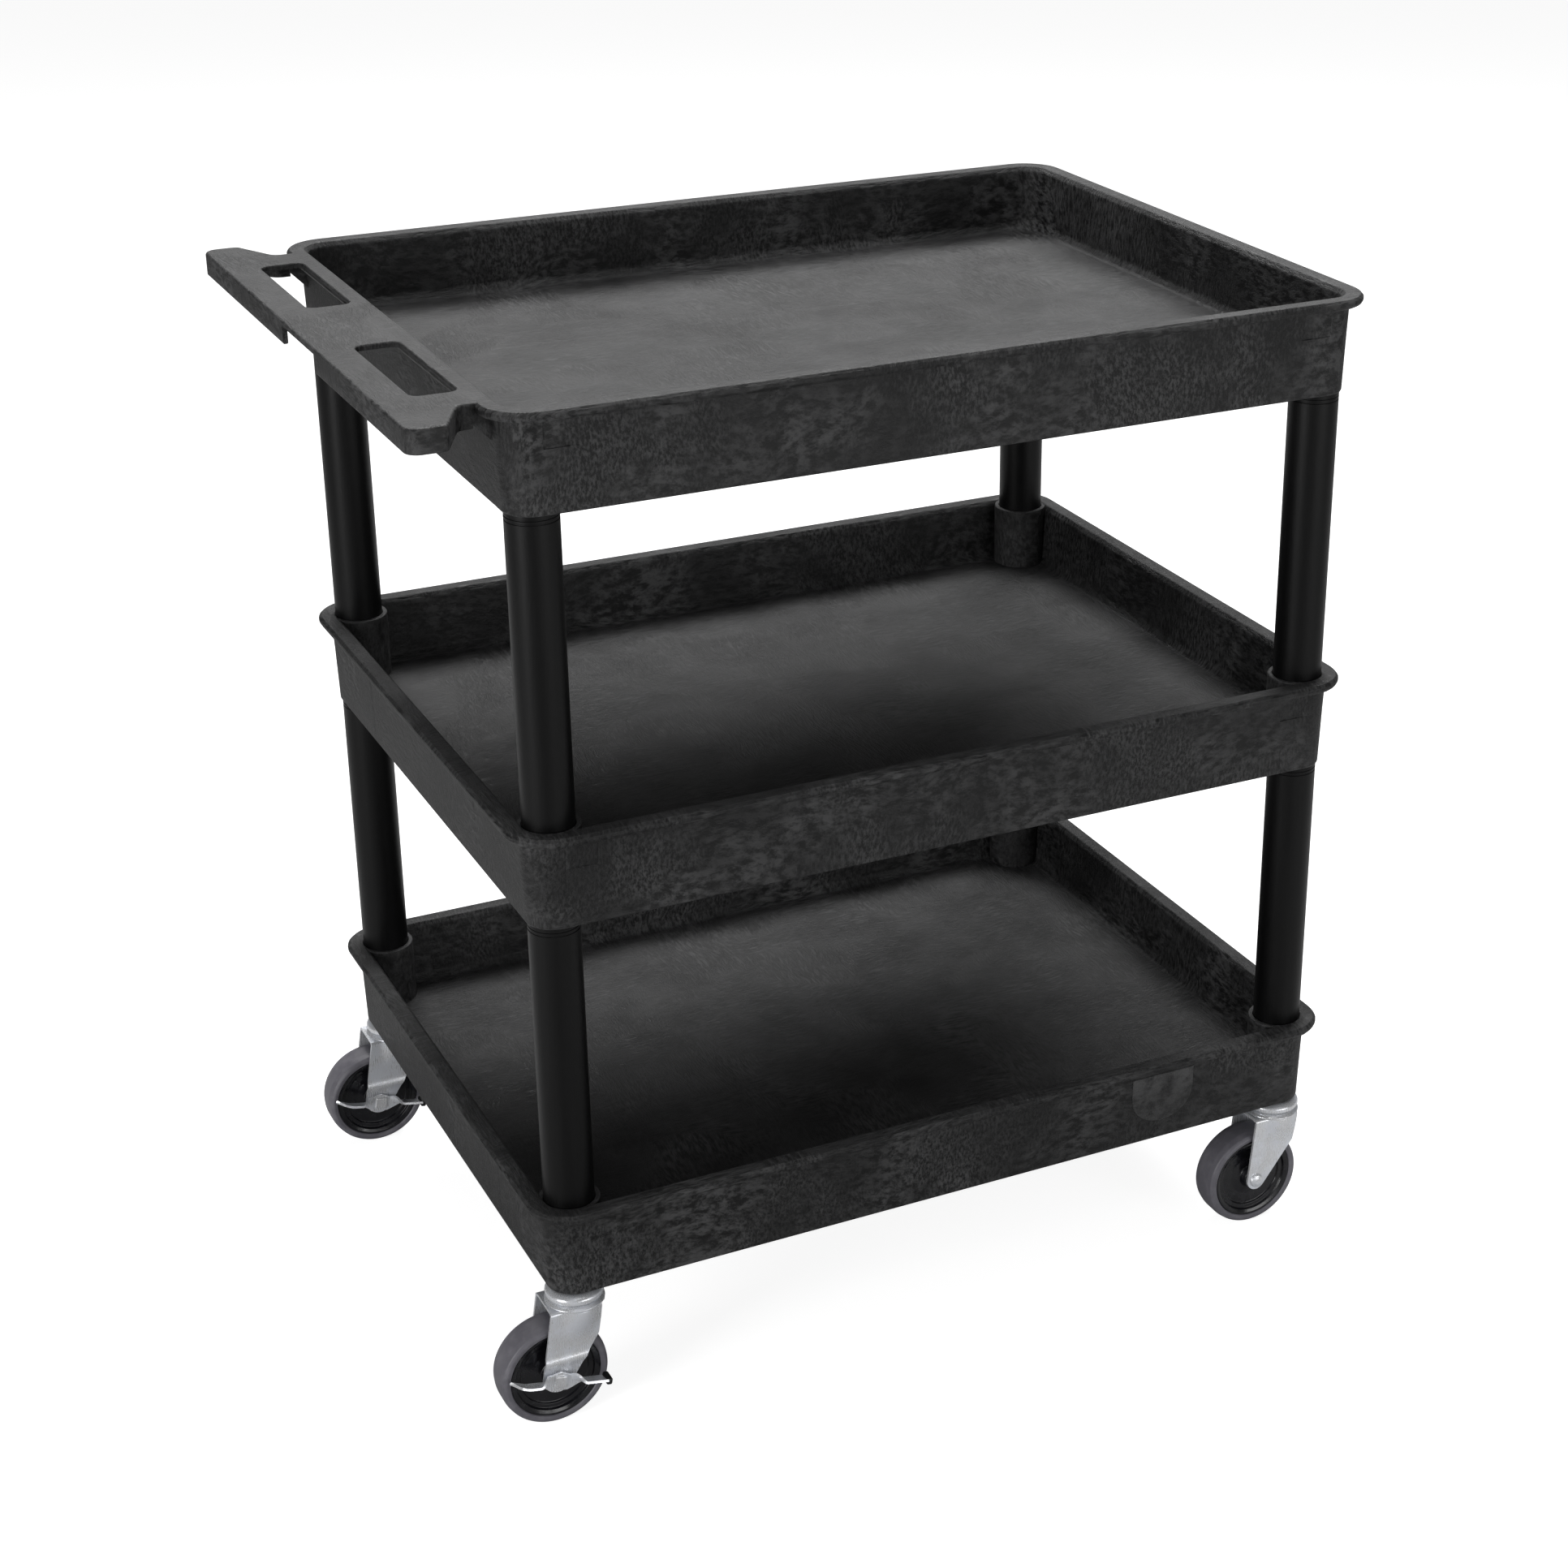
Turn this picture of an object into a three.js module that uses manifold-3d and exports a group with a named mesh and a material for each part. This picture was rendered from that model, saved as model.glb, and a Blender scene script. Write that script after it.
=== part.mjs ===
// Rolling utility cart: three lipped plastic tubs on four pairs of tubular legs, a handle moulded
// into one end of the top tub, and four swivel casters, the two under the handle with foot brakes.
// Millimetres, +Z up. The origin is on the floor, under the middle of the whole footprint.
// The handle is at -X. "Left" (+Y) and "right" (-Y) are those of a person who pushes it along +X.
import * as THREE from "three";
import { mergeVertices } from "three/addons/utils/BufferGeometryUtils.js";
import Module from "manifold-3d";

const wasm = await Module();
wasm.setup();

// Driving dimensions of the tubs
const TUB_LENGTH = 813;          // over the lip, along X
const TUB_WIDTH = 616;           // over the lip, along Y
const TUB_HEIGHT = 89;           // lip to the foot of the outer wall
const TUB_DEPTH = 64;            // lip to the floor inside
const FLOOR_THICKNESS = 5;
const LIP_CORNER_RADIUS = 40;
const SMALLEST_CORNER_RADIUS = 8;
const CORNER_STEPS = 5;
const RIM_HEIGHT = { top: 946, middle: 585, bottom: 224 };

// The handle end
const HANDLE_REACH = 69;         // handle's edge past the lip
const PLATE_THICKNESS = 5;
const SKIRT_DEPTH = 21;
const SKIRT_THICKNESS = 4.5;
const NOTCH_HALF_WIDTH = 262;    // half the distance between the two corner notches
const SLOT_INNER = 66;           // each hand slot runs from here ...
const SLOT_OUTER = 224;          // ... to here, on either side of the middle
const SLOT_NEAR = 0;             // the slot's edges, measured outwards from the lip
const SLOT_FAR = 38;
const SLOT_CORNER_RADIUS = 9;
const SKIRT_GAP = [-62, 38];     // the stretch of the handle's edge that has no skirt
const GUSSET_PLACE = 258;        // from the middle to each gusset that braces the handle
const GUSSET_REACH = 16;
const GUSSET_DROP = 33;
const GUSSET_THICKNESS = 5;

// The tubs' centre, so that tub and handle together are centred on the origin
const TUB_X = HANDLE_REACH / 2;

// Legs and the sockets they stand in
const LEG_INSET = 38.9;          // from the lip's edge to a leg's centre
const LEG_RADIUS = 22.5;
const LEG_WALL = 3;
const LEG_SIDES = 24;
const GAP = 0.3;                 // left between two parts that touch
const SOCKET_WALL = 4.5;
const SOCKET_TOP = 1;            // how far the sockets stop below the lip
const RIB_THICKNESS = 4;
const RIB_DEPTH = 14;
const RIB_PLACE = 90;            // from the middle to each of the two ribs under a floor

// Casters, from the floor up
const WHEEL_SIDES = 24;
const WHEEL_RADIUS = 51;
const TREAD_HALF_WIDTH = 16;
const TREAD_INNER_RADIUS = 42.3;
const TRAIL = 26;                // how far the axle trails behind the swivel axis
const AXLE_HEIGHT = WHEEL_RADIUS * Math.cos(Math.PI / WHEEL_SIDES);
const AXLE_RADIUS = 4;
const SLEEVE_RADIUS = 6;
const FORK_HALF_GAP = 18;        // from the middle to a fork leg's inner face
const SHEET = 2.6;               // thickness of the fork's steel
const PLAIN_TIP_RADIUS = 10;     // round end of a fork leg about the axle
const BRAKED_TIP_RADIUS = 14;
const CROWN_FRONT = 20;          // the crown's leading edge, from the swivel axis
const CROWN_BACK = TRAIL + 3;    // and its trailing edge
const FORK_KNEE = { x: 14, z: 88 };  // where a fork leg's leading edge turns in towards the axle
const RACE_RADIUS = 27.5;        // the domed ball race pressed into the crown
const CROWN_TOP = 119;
const BALL_RACE_HEIGHT = 123.5;
const CAP_HEIGHT = 127;
const KINGPIN_RADIUS = 5;
const STEM_RADIUS = 5.5;
const STEM_TOP = 183;
const INSERT_RADIUS = 11;
const INSERT_TOP = 190;
const ROUND_SIDES = 16;

// Brake lever, before it is tilted about the axle
const LEVER_FACE = FORK_HALF_GAP + SHEET + GAP;
const LEVER_SHEET = 2.2;
const LEVER_TILT = 11;           // degrees that the pedal end hangs below the other at rest
const WEB_HALF_LENGTH = 30;
const WEB_HALF_HEIGHT = 9;
const WING_START = 14;           // both foot wings run outwards from here ...
const WING_END = 47;             // ... to here, measured from the axle
const WING_DEPTH = 13;
const PEDAL_END = 42;
const GRIP_LENGTH = 4;

const PAINT = {
  tub: new THREE.MeshStandardMaterial({ color: 0x2b2b2d, roughness: 0.62, metalness: 0 }),
  leg: new THREE.MeshStandardMaterial({ color: 0x1d1d1f, roughness: 0.45, metalness: 0 }),
  zinc: new THREE.MeshStandardMaterial({ color: 0xc3c6ca, roughness: 0.28, metalness: 1 }),
  rubber: new THREE.MeshStandardMaterial({ color: 0x6c6b72, roughness: 0.6, metalness: 0 }),
  core: new THREE.MeshStandardMaterial({ color: 0x232329, roughness: 0.22, metalness: 0 }),
  nylon: new THREE.MeshStandardMaterial({ color: 0x3a3a3c, roughness: 0.5, metalness: 0 }),
};

// ---------- solids ----------

function toSolid(geometry) {
  const bare = geometry.clone();
  bare.deleteAttribute("normal");
  bare.deleteAttribute("uv");
  const merged = mergeVertices(bare, 1e-4);
  return new wasm.Manifold(new wasm.Mesh({
    numProp: 3,
    vertProperties: merged.attributes.position.array,
    triVerts: Uint32Array.from(merged.index.array),
  }));
}

function toGeometry(solid) {
  const mesh = solid.getMesh();
  const geometry = new THREE.BufferGeometry();
  geometry.setAttribute("position", new THREE.BufferAttribute(mesh.vertProperties, 3));
  geometry.setIndex(new THREE.BufferAttribute(mesh.triVerts, 1));
  return geometry;
}

function join(...solids) {
  return solids.reduce((whole, next) => whole.add(next));
}

function box(low, high) {
  const size = high.map((value, axis) => value - low[axis]);
  const geometry = new THREE.BoxGeometry(...size);
  geometry.translate(...low.map((value, axis) => value + size[axis] / 2));
  return toSolid(geometry);
}

// An upright cylinder between two heights
function post(radius, low, high, x = 0, y = 0, sides = ROUND_SIDES) {
  const geometry = new THREE.CylinderGeometry(radius, radius, high - low, sides);
  geometry.rotateX(Math.PI / 2);
  geometry.translate(x, y, (low + high) / 2);
  return toSolid(geometry);
}

// A shape drawn in X and Y, stood up between two heights
function prism(shape, low, high, curveSegments = 6) {
  const geometry = new THREE.ExtrudeGeometry(shape, { depth: high - low, bevelEnabled: false, curveSegments });
  geometry.translate(0, 0, low);
  return toSolid(geometry);
}

// A shape drawn in X and Z, given its thickness along Y
function plate(shape, low, high, curveSegments = 8) {
  const geometry = new THREE.ExtrudeGeometry(shape, { depth: high - low, bevelEnabled: false, curveSegments });
  geometry.rotateX(Math.PI / 2);
  geometry.translate(0, high, 0);
  return toSolid(geometry);
}

// A profile of [radius, height] points turned round the Z axis; the profile closes on itself
function turned(profile, sides = ROUND_SIDES) {
  const points = [...profile, profile[0]].map(([radius, height]) => new THREE.Vector2(radius, height));
  const geometry = new THREE.LatheGeometry(points, sides);
  geometry.rotateX(Math.PI / 2);
  return geometry;
}

function turnedAboutY(profile, sides) {
  const points = [...profile, profile[0]].map(([radius, across]) => new THREE.Vector2(radius, across));
  const geometry = new THREE.LatheGeometry(points, sides, Math.PI / sides);
  return geometry;
}

// ---------- tubs ----------

// The tub's outline shrunk by an inset from the lip's edge, as one closed ring of points
function outlineRing([inset, height]) {
  const radius = Math.max(LIP_CORNER_RADIUS - inset, SMALLEST_CORNER_RADIUS);
  const reachX = TUB_LENGTH / 2 - inset - radius;
  const reachY = TUB_WIDTH / 2 - inset - radius;
  const ring = [];
  for (let corner = 0; corner < 4; corner += 1) {
    const signX = corner === 0 || corner === 3 ? 1 : -1;
    const signY = corner < 2 ? 1 : -1;
    for (let step = 0; step <= CORNER_STEPS; step += 1) {
      const angle = (corner + step / CORNER_STEPS) * Math.PI / 2;
      ring.push([
        TUB_X + signX * reachX + radius * Math.cos(angle),
        signY * reachY + radius * Math.sin(angle),
        height,
      ]);
    }
  }
  return ring;
}

// A closed skin through a stack of rings, with a flat cap on the first and the last
function loft(sections) {
  const rings = sections.map(outlineRing);
  const count = rings[0].length;
  const positions = rings.flat();
  const faces = [];
  for (let level = 0; level + 1 < rings.length; level += 1) {
    for (let i = 0; i < count; i += 1) {
      const a = level * count + i;
      const b = level * count + (i + 1) % count;
      faces.push(a, b, b + count, a, b + count, a + count);
    }
  }
  const first = positions.length;
  positions.push([TUB_X, 0, sections[0][1]], [TUB_X, 0, sections.at(-1)[1]]);
  const lastRing = (rings.length - 1) * count;
  for (let i = 0; i < count; i += 1) {
    const next = (i + 1) % count;
    faces.push(first, next, i);
    faces.push(first + 1, lastRing + i, lastRing + next);
  }
  const geometry = new THREE.BufferGeometry();
  geometry.setAttribute("position", new THREE.Float32BufferAttribute(positions.flat(), 3));
  geometry.setIndex(faces);
  return toSolid(geometry);
}

// [inset, height above the lip] of the outer wall, then of the whole skin from under the floor,
// round the foot, up the wall, over the rolled lip and down to the floor inside
const OUTER_WALL = [[14.4, -TUB_HEIGHT], [11.8, -11]];
const TUB_SKIN = [
  [22.5, -TUB_DEPTH - FLOOR_THICKNESS],
  [20.4, -TUB_HEIGHT],
  ...OUTER_WALL,
  [2.2, -8],
  [0, -5.5],
  [0, -3],
  [3, 0],
  [15.5, 0],
  [19, -3],
  [22.5, -TUB_DEPTH + 6],
  [27, -TUB_DEPTH],
];

function atHeight(sections, rim) {
  return sections.map(([inset, height]) => [inset, rim + height]);
}

function legPlaces() {
  const reachX = TUB_LENGTH / 2 - LEG_INSET;
  const reachY = TUB_WIDTH / 2 - LEG_INSET;
  return [
    { name: "rear_right", x: TUB_X - reachX, y: -reachY, braked: true },
    { name: "rear_left", x: TUB_X - reachX, y: reachY, braked: true },
    { name: "front_right", x: TUB_X + reachX, y: -reachY, braked: false },
    { name: "front_left", x: TUB_X + reachX, y: reachY, braked: false },
  ];
}

// Stiffening ribs under a tub's floor
function floorRibs(rim) {
  const top = rim - TUB_DEPTH - FLOOR_THICKNESS + 1;
  const low = top - 1 - RIB_DEPTH;
  const halfX = TUB_LENGTH / 2 - 21;
  return join(...[-RIB_PLACE, RIB_PLACE].map((y) => (
    box([TUB_X - halfX, y - RIB_THICKNESS / 2, low], [TUB_X + halfX, y + RIB_THICKNESS / 2, top]))));
}

// A tub with the sockets that take the legs: below the floor, above it, or both
function tub(rim, { socketAbove, socketBelow, casterSocket }) {
  const floor = rim - TUB_DEPTH;
  const underside = floor - FLOOR_THICKNESS;
  const foot = rim - TUB_HEIGHT;
  const envelope = loft(atHeight([...OUTER_WALL, [OUTER_WALL[1][0], -SOCKET_TOP]], rim));
  const holeRadius = LEG_RADIUS + GAP;
  const bossRadius = holeRadius + SOCKET_WALL;
  let solid = loft(atHeight(TUB_SKIN, rim)).add(floorRibs(rim));
  for (const { x, y } of legPlaces()) {
    const bossTop = socketAbove ? rim - SOCKET_TOP : floor - 1;
    const boss = post(bossRadius, foot, bossTop, x, y, LEG_SIDES).intersect(envelope);
    solid = solid.add(boss);
    if (socketAbove) {
      solid = solid.subtract(post(holeRadius, floor, rim + 5, x, y, LEG_SIDES));
    }
    if (socketBelow) {
      solid = solid.subtract(post(holeRadius, foot - 5, underside, x, y, LEG_SIDES));
    }
    if (casterSocket) {
      solid = solid.subtract(post(INSERT_RADIUS + GAP, foot - 5, floor + 5, x, y));
    }
  }
  return solid;
}

// The handle's outline seen from above, shrunk by an inset: straight across the end, round each
// lobe, back along the lobe's slanted side and round the notch to the tub's corner
function handleOutline(inset) {
  const lip = TUB_X - TUB_LENGTH / 2;
  const edge = lip - HANDLE_REACH + inset;
  const side = TUB_WIDTH / 2 - inset;
  const notch = NOTCH_HALF_WIDTH - inset;
  const inside = lip + 12;
  const shape = new THREE.Shape();
  shape.moveTo(inside, -notch);
  shape.lineTo(lip - 13 - inset, -notch);
  shape.quadraticCurveTo(lip - 21 - inset, -notch, lip - 26 - inset, -notch - 11);
  shape.lineTo(lip - 37 - inset, -side + 6);
  shape.quadraticCurveTo(lip - 40 - inset, -side, lip - 47, -side);
  shape.quadraticCurveTo(edge, -side, edge, -side + 24);
  shape.lineTo(edge, side - 24);
  shape.quadraticCurveTo(edge, side, lip - 47, side);
  shape.quadraticCurveTo(lip - 40 - inset, side, lip - 37 - inset, side - 6);
  shape.lineTo(lip - 26 - inset, notch + 11);
  shape.quadraticCurveTo(lip - 21 - inset, notch, lip - 13 - inset, notch);
  shape.lineTo(inside, notch);
  shape.closePath();
  return shape;
}

function slotOutline(sign) {
  const lip = TUB_X - TUB_LENGTH / 2;
  const left = lip - SLOT_FAR;
  const right = lip - SLOT_NEAR;
  const [low, high] = sign > 0 ? [SLOT_INNER, SLOT_OUTER] : [-SLOT_OUTER, -SLOT_INNER];
  const round = SLOT_CORNER_RADIUS;
  const shape = new THREE.Shape();
  shape.moveTo(left + round, low);
  shape.lineTo(right - round, low);
  shape.quadraticCurveTo(right, low, right, low + round);
  shape.lineTo(right, high - round);
  shape.quadraticCurveTo(right, high, right - round, high);
  shape.lineTo(left + round, high);
  shape.quadraticCurveTo(left, high, left, high - round);
  shape.lineTo(left, low + round);
  shape.quadraticCurveTo(left, low, left + round, low);
  return shape;
}

// The handle: a flat plate with two hand slots and a skirt hanging from its outer edge
function handle(rim) {
  const lip = TUB_X - TUB_LENGTH / 2;
  const flat = prism(handleOutline(0), rim - PLATE_THICKNESS, rim);
  const skirtBlock = prism(handleOutline(0), rim - SKIRT_DEPTH, rim - 1);
  const hollow = prism(handleOutline(SKIRT_THICKNESS), rim - SKIRT_DEPTH - 1, rim);
  const gap = box([lip - HANDLE_REACH - 1, SKIRT_GAP[0], rim - SKIRT_DEPTH - 1],
    [lip - HANDLE_REACH / 2, SKIRT_GAP[1], rim - PLATE_THICKNESS]);
  const tubSide = box([lip - 2, -TUB_WIDTH, rim - SKIRT_DEPTH - 2], [lip + 20, TUB_WIDTH, rim - PLATE_THICKNESS]);
  const skirt = skirtBlock.subtract(hollow).subtract(gap).subtract(tubSide);
  return { flat, skirt, slots: [-1, 1].map((sign) => prism(slotOutline(sign), rim - 40, rim + 5)) };
}

// A triangular brace in the corner between the handle's plate and the tub's end wall
function gusset(rim, y) {
  const wall = TUB_X - TUB_LENGTH / 2 + OUTER_WALL[1][0] + 1;
  const shape = new THREE.Shape();
  shape.moveTo(wall, rim - GUSSET_DROP);
  shape.lineTo(wall, rim - 1);
  shape.lineTo(wall - GUSSET_REACH, rim - 1);
  shape.lineTo(wall - GUSSET_REACH, rim - GUSSET_DROP / 2);
  shape.closePath();
  return plate(shape, y - GUSSET_THICKNESS / 2, y + GUSSET_THICKNESS / 2);
}

function topTub() {
  const rim = RIM_HEIGHT.top;
  const { flat, skirt, slots } = handle(rim);
  const body = tub(rim, { socketAbove: false, socketBelow: true, casterSocket: false });
  const inside = loft(atHeight([[22.5, -TUB_DEPTH + 6], [19, -3], [15.5, 0], [15.5, 5]], rim));
  const gussets = [-GUSSET_PLACE, GUSSET_PLACE].map((y) => gusset(rim, y));
  let end = join(flat, skirt, ...gussets).subtract(inside);
  for (const slot of slots) {
    end = end.subtract(slot);
  }
  return body.add(end);
}

// ---------- legs ----------

function legTube(bottom, top, x, y) {
  return post(LEG_RADIUS, bottom, top, x, y, LEG_SIDES)
    .subtract(post(LEG_RADIUS - LEG_WALL, bottom - 1, top + 1, x, y, LEG_SIDES));
}

// ---------- casters, about the swivel axis at x = 0, y = 0, the wheel trailing towards -X ----------

function stemAndCap() {
  const headTop = CROWN_TOP - SHEET - GAP;
  return turned([
    [0, headTop - 4],
    [8, headTop - 4],
    [8, headTop],
    [KINGPIN_RADIUS, headTop],
    [KINGPIN_RADIUS, CAP_HEIGHT],
    [21, CAP_HEIGHT],
    [22.5, 124.4],
    [26.5, 124.4],
    [26.5, 129.5],
    [21, 133],
    [STEM_RADIUS, 134],
    [STEM_RADIUS, STEM_TOP - 2],
    [STEM_RADIUS - 2, STEM_TOP],
    [0, STEM_TOP],
  ]);
}

function stemInsert() {
  return turned([
    [STEM_RADIUS + GAP, RIM_HEIGHT.bottom - TUB_HEIGHT],
    [INSERT_RADIUS, RIM_HEIGHT.bottom - TUB_HEIGHT],
    [INSERT_RADIUS, INSERT_TOP],
    [STEM_RADIUS + GAP, INSERT_TOP],
  ]);
}

function ballRing() {
  return turned([
    [14, BALL_RACE_HEIGHT + GAP],
    [19, BALL_RACE_HEIGHT + GAP],
    [19, CAP_HEIGHT - GAP],
    [14, CAP_HEIGHT - GAP],
  ]);
}

// One fork leg: a tapered plate with a round tip about the axle
function forkLegShape(tipRadius) {
  const shape = new THREE.Shape();
  shape.moveTo(CROWN_FRONT, CROWN_TOP);
  shape.lineTo(-CROWN_BACK, CROWN_TOP);
  shape.lineTo(-TRAIL - tipRadius, AXLE_HEIGHT + 2);
  shape.absarc(-TRAIL, AXLE_HEIGHT, tipRadius, Math.PI, Math.PI * 1.8, false);
  shape.lineTo(FORK_KNEE.x, FORK_KNEE.z);
  shape.closePath();
  return shape;
}

function crownDome() {
  return toSolid(turned([
    [KINGPIN_RADIUS + GAP, CROWN_TOP - SHEET],
    [RACE_RADIUS, CROWN_TOP - SHEET],
    [RACE_RADIUS, CROWN_TOP],
    [20, BALL_RACE_HEIGHT],
    [KINGPIN_RADIUS + GAP, BALL_RACE_HEIGHT],
  ]));
}

function axleHole(radius, low, high) {
  const geometry = new THREE.CylinderGeometry(radius, radius, high - low, ROUND_SIDES);
  geometry.translate(-TRAIL, (low + high) / 2, AXLE_HEIGHT);
  return toSolid(geometry);
}

function fork(tipRadius) {
  const outside = FORK_HALF_GAP + SHEET;
  const crown = box([-CROWN_BACK, -outside, CROWN_TOP - SHEET], [CROWN_FRONT, outside, CROWN_TOP]);
  const kingpinHole = post(KINGPIN_RADIUS + GAP, CROWN_TOP - 10, CROWN_TOP + 20);
  const legs = [[-outside, -FORK_HALF_GAP], [FORK_HALF_GAP, outside]]
    .map(([low, high]) => plate(forkLegShape(tipRadius), low, high));
  return join(crown, crownDome(), ...legs)
    .subtract(kingpinHole)
    .subtract(axleHole(AXLE_RADIUS + GAP, -50, 50));
}

// The axle bolt's head bears on the fork leg, or on the brake lever where there is one
function axleBolt(headFace) {
  const tail = FORK_HALF_GAP + SHEET + 8;
  return toSolid(turned([
    [0, -headFace - 4],
    [6, -headFace - 4],
    [8, -headFace - 2],
    [8, -headFace],
    [AXLE_RADIUS, -headFace],
    [AXLE_RADIUS, tail],
    [0, tail],
  ]).rotateX(-Math.PI / 2));
}

function axleNut() {
  const face = FORK_HALF_GAP + SHEET + GAP;
  const geometry = new THREE.CylinderGeometry(7.5, 7.5, 6, 6);
  geometry.translate(-TRAIL, face + 3, AXLE_HEIGHT);
  return toSolid(geometry).subtract(axleHole(AXLE_RADIUS + GAP, face - 1, face + 7));
}

function axleSleeve() {
  const end = FORK_HALF_GAP - GAP;
  return turnedAboutY([
    [AXLE_RADIUS + GAP, -end],
    [SLEEVE_RADIUS, -end],
    [SLEEVE_RADIUS, end],
    [AXLE_RADIUS + GAP, end],
  ], ROUND_SIDES);
}

// The wheel's moulded centre: hub, dished web with a step, and rim
function wheelCore() {
  const rimRadius = TREAD_INNER_RADIUS - GAP;
  const side = [
    [SLEEVE_RADIUS + GAP, 16.8],
    [11, 16.8],
    [13, 9],
    [36, 10],
    [39.5, 15],
    [rimRadius, 15],
  ];
  const mirrored = side.map(([radius, across]) => [radius, -across]).reverse();
  return turnedAboutY([...mirrored, ...side].reverse(), WHEEL_SIDES);
}

function tread() {
  const side = [
    [TREAD_INNER_RADIUS, 15.4],
    [46, TREAD_HALF_WIDTH],
    [49.6, 13.5],
    [WHEEL_RADIUS, 8],
  ];
  const mirrored = side.map(([radius, across]) => [radius, -across]).reverse();
  return turnedAboutY([...mirrored, ...side].reverse(), WHEEL_SIDES);
}

// Brake lever: a diamond web round the axle bolt, with a foot wing folded out at each end; drawn
// level, then tilted about the axle
function brakeLever() {
  const web = new THREE.Shape();
  web.moveTo(-WEB_HALF_LENGTH, 0);
  web.quadraticCurveTo(-WING_START, 2, 0, WEB_HALF_HEIGHT);
  web.quadraticCurveTo(WING_START, 2, WEB_HALF_LENGTH, 0);
  web.lineTo(WEB_HALF_LENGTH, -LEVER_SHEET);
  web.quadraticCurveTo(WING_START, -LEVER_SHEET - 2, 0, -WEB_HALF_HEIGHT);
  web.quadraticCurveTo(-WING_START, -LEVER_SHEET - 2, -WEB_HALF_LENGTH, -LEVER_SHEET);
  const inner = -LEVER_FACE;
  const outer = -LEVER_FACE - WING_DEPTH;
  const wing = new THREE.Shape();
  wing.moveTo(-WING_START, inner);
  wing.lineTo(-WING_END + 6, inner);
  wing.quadraticCurveTo(-WING_END, inner, -WING_END, (inner + outer) / 2);
  wing.quadraticCurveTo(-WING_END, outer, -WING_END + 8, outer);
  wing.quadraticCurveTo(-WING_START - 8, outer, -WING_START, inner);
  const pedal = new THREE.Shape();
  pedal.moveTo(WING_START, inner);
  pedal.quadraticCurveTo(WING_START + 8, outer, PEDAL_END - 6, outer);
  pedal.lineTo(PEDAL_END, outer);
  pedal.lineTo(PEDAL_END, inner);
  const wings = [wing, pedal].map((shape) => prism(shape, -LEVER_SHEET, 0));
  return join(plate(web, inner - LEVER_SHEET, inner), ...wings)
    .subtract(leverBore())
    .rotate([0, LEVER_TILT, 0])
    .translate([-TRAIL, 0, AXLE_HEIGHT]);
}

function leverBore() {
  const radius = AXLE_RADIUS + GAP;
  return toSolid(new THREE.CylinderGeometry(radius, radius, 2 * (LEVER_FACE + LEVER_SHEET + 1), ROUND_SIDES));
}

// The black grip on the end of the pedal wing
function pedalGrip() {
  const start = PEDAL_END + GAP;
  return box([start, -LEVER_FACE - WING_DEPTH, -LEVER_SHEET - 1], [start + GRIP_LENGTH, -LEVER_FACE - 1, 5])
    .rotate([0, LEVER_TILT, 0])
    .translate([-TRAIL, 0, AXLE_HEIGHT]);
}

// ---------- assembly ----------

const cart = new THREE.Group();

function addPiece(name, geometry, paint, parent = cart) {
  const mesh = new THREE.Mesh(geometry, paint);
  mesh.name = name;
  parent.add(mesh);
  return mesh;
}

function alongAxle(geometry) {
  geometry.translate(-TRAIL, 0, AXLE_HEIGHT);
  return geometry;
}

addPiece("top_tub", toGeometry(topTub()), PAINT.tub);
addPiece("middle_tub", toGeometry(tub(RIM_HEIGHT.middle,
  { socketAbove: true, socketBelow: true, casterSocket: false })), PAINT.tub);
addPiece("bottom_tub", toGeometry(tub(RIM_HEIGHT.bottom,
  { socketAbove: true, socketBelow: false, casterSocket: true })), PAINT.tub);

for (const { name, x, y, braked } of legPlaces()) {
  const under = (rim) => rim - TUB_DEPTH - FLOOR_THICKNESS - GAP;
  const above = (rim) => rim - TUB_DEPTH + GAP;
  addPiece(`${name}_upper_leg`,
    toGeometry(legTube(above(RIM_HEIGHT.middle), under(RIM_HEIGHT.top), x, y)), PAINT.leg);
  addPiece(`${name}_lower_leg`,
    toGeometry(legTube(above(RIM_HEIGHT.bottom), under(RIM_HEIGHT.middle), x, y)), PAINT.leg);

  const caster = new THREE.Group();
  caster.position.set(x, y, 0);
  cart.add(caster);
  const headFace = braked ? LEVER_FACE + LEVER_SHEET + GAP : FORK_HALF_GAP + SHEET + GAP;
  const tipRadius = braked ? BRAKED_TIP_RADIUS : PLAIN_TIP_RADIUS;
  addPiece(`${name}_stem_insert`, stemInsert(), PAINT.nylon, caster);
  addPiece(`${name}_swivel_stem`, stemAndCap(), PAINT.zinc, caster);
  addPiece(`${name}_ball_ring`, ballRing(), PAINT.zinc, caster);
  addPiece(`${name}_fork`, toGeometry(fork(tipRadius)), PAINT.zinc, caster);
  addPiece(`${name}_axle_bolt`, alongAxle(toGeometry(axleBolt(headFace))), PAINT.zinc, caster);
  addPiece(`${name}_axle_nut`, toGeometry(axleNut()), PAINT.zinc, caster);
  addPiece(`${name}_axle_sleeve`, alongAxle(axleSleeve()), PAINT.nylon, caster);
  addPiece(`${name}_wheel_core`, alongAxle(wheelCore()), PAINT.core, caster);
  addPiece(`${name}_tread`, alongAxle(tread()), PAINT.rubber, caster);
  if (braked) {
    addPiece(`${name}_brake_lever`, toGeometry(brakeLever()), PAINT.zinc, caster);
    addPiece(`${name}_pedal_grip`, toGeometry(pedalGrip()), PAINT.nylon, caster);
  }
}

export default cart;
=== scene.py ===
"""Rolling utility cart: three lipped tubs, eight leg tubes and four swivel casters, dressed and lit."""
import logging
import math
from dataclasses import dataclass, field
from enum import Enum
from typing import Callable, Sequence

import bmesh
import bpy
from mathutils import Matrix, Vector, noise


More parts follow.
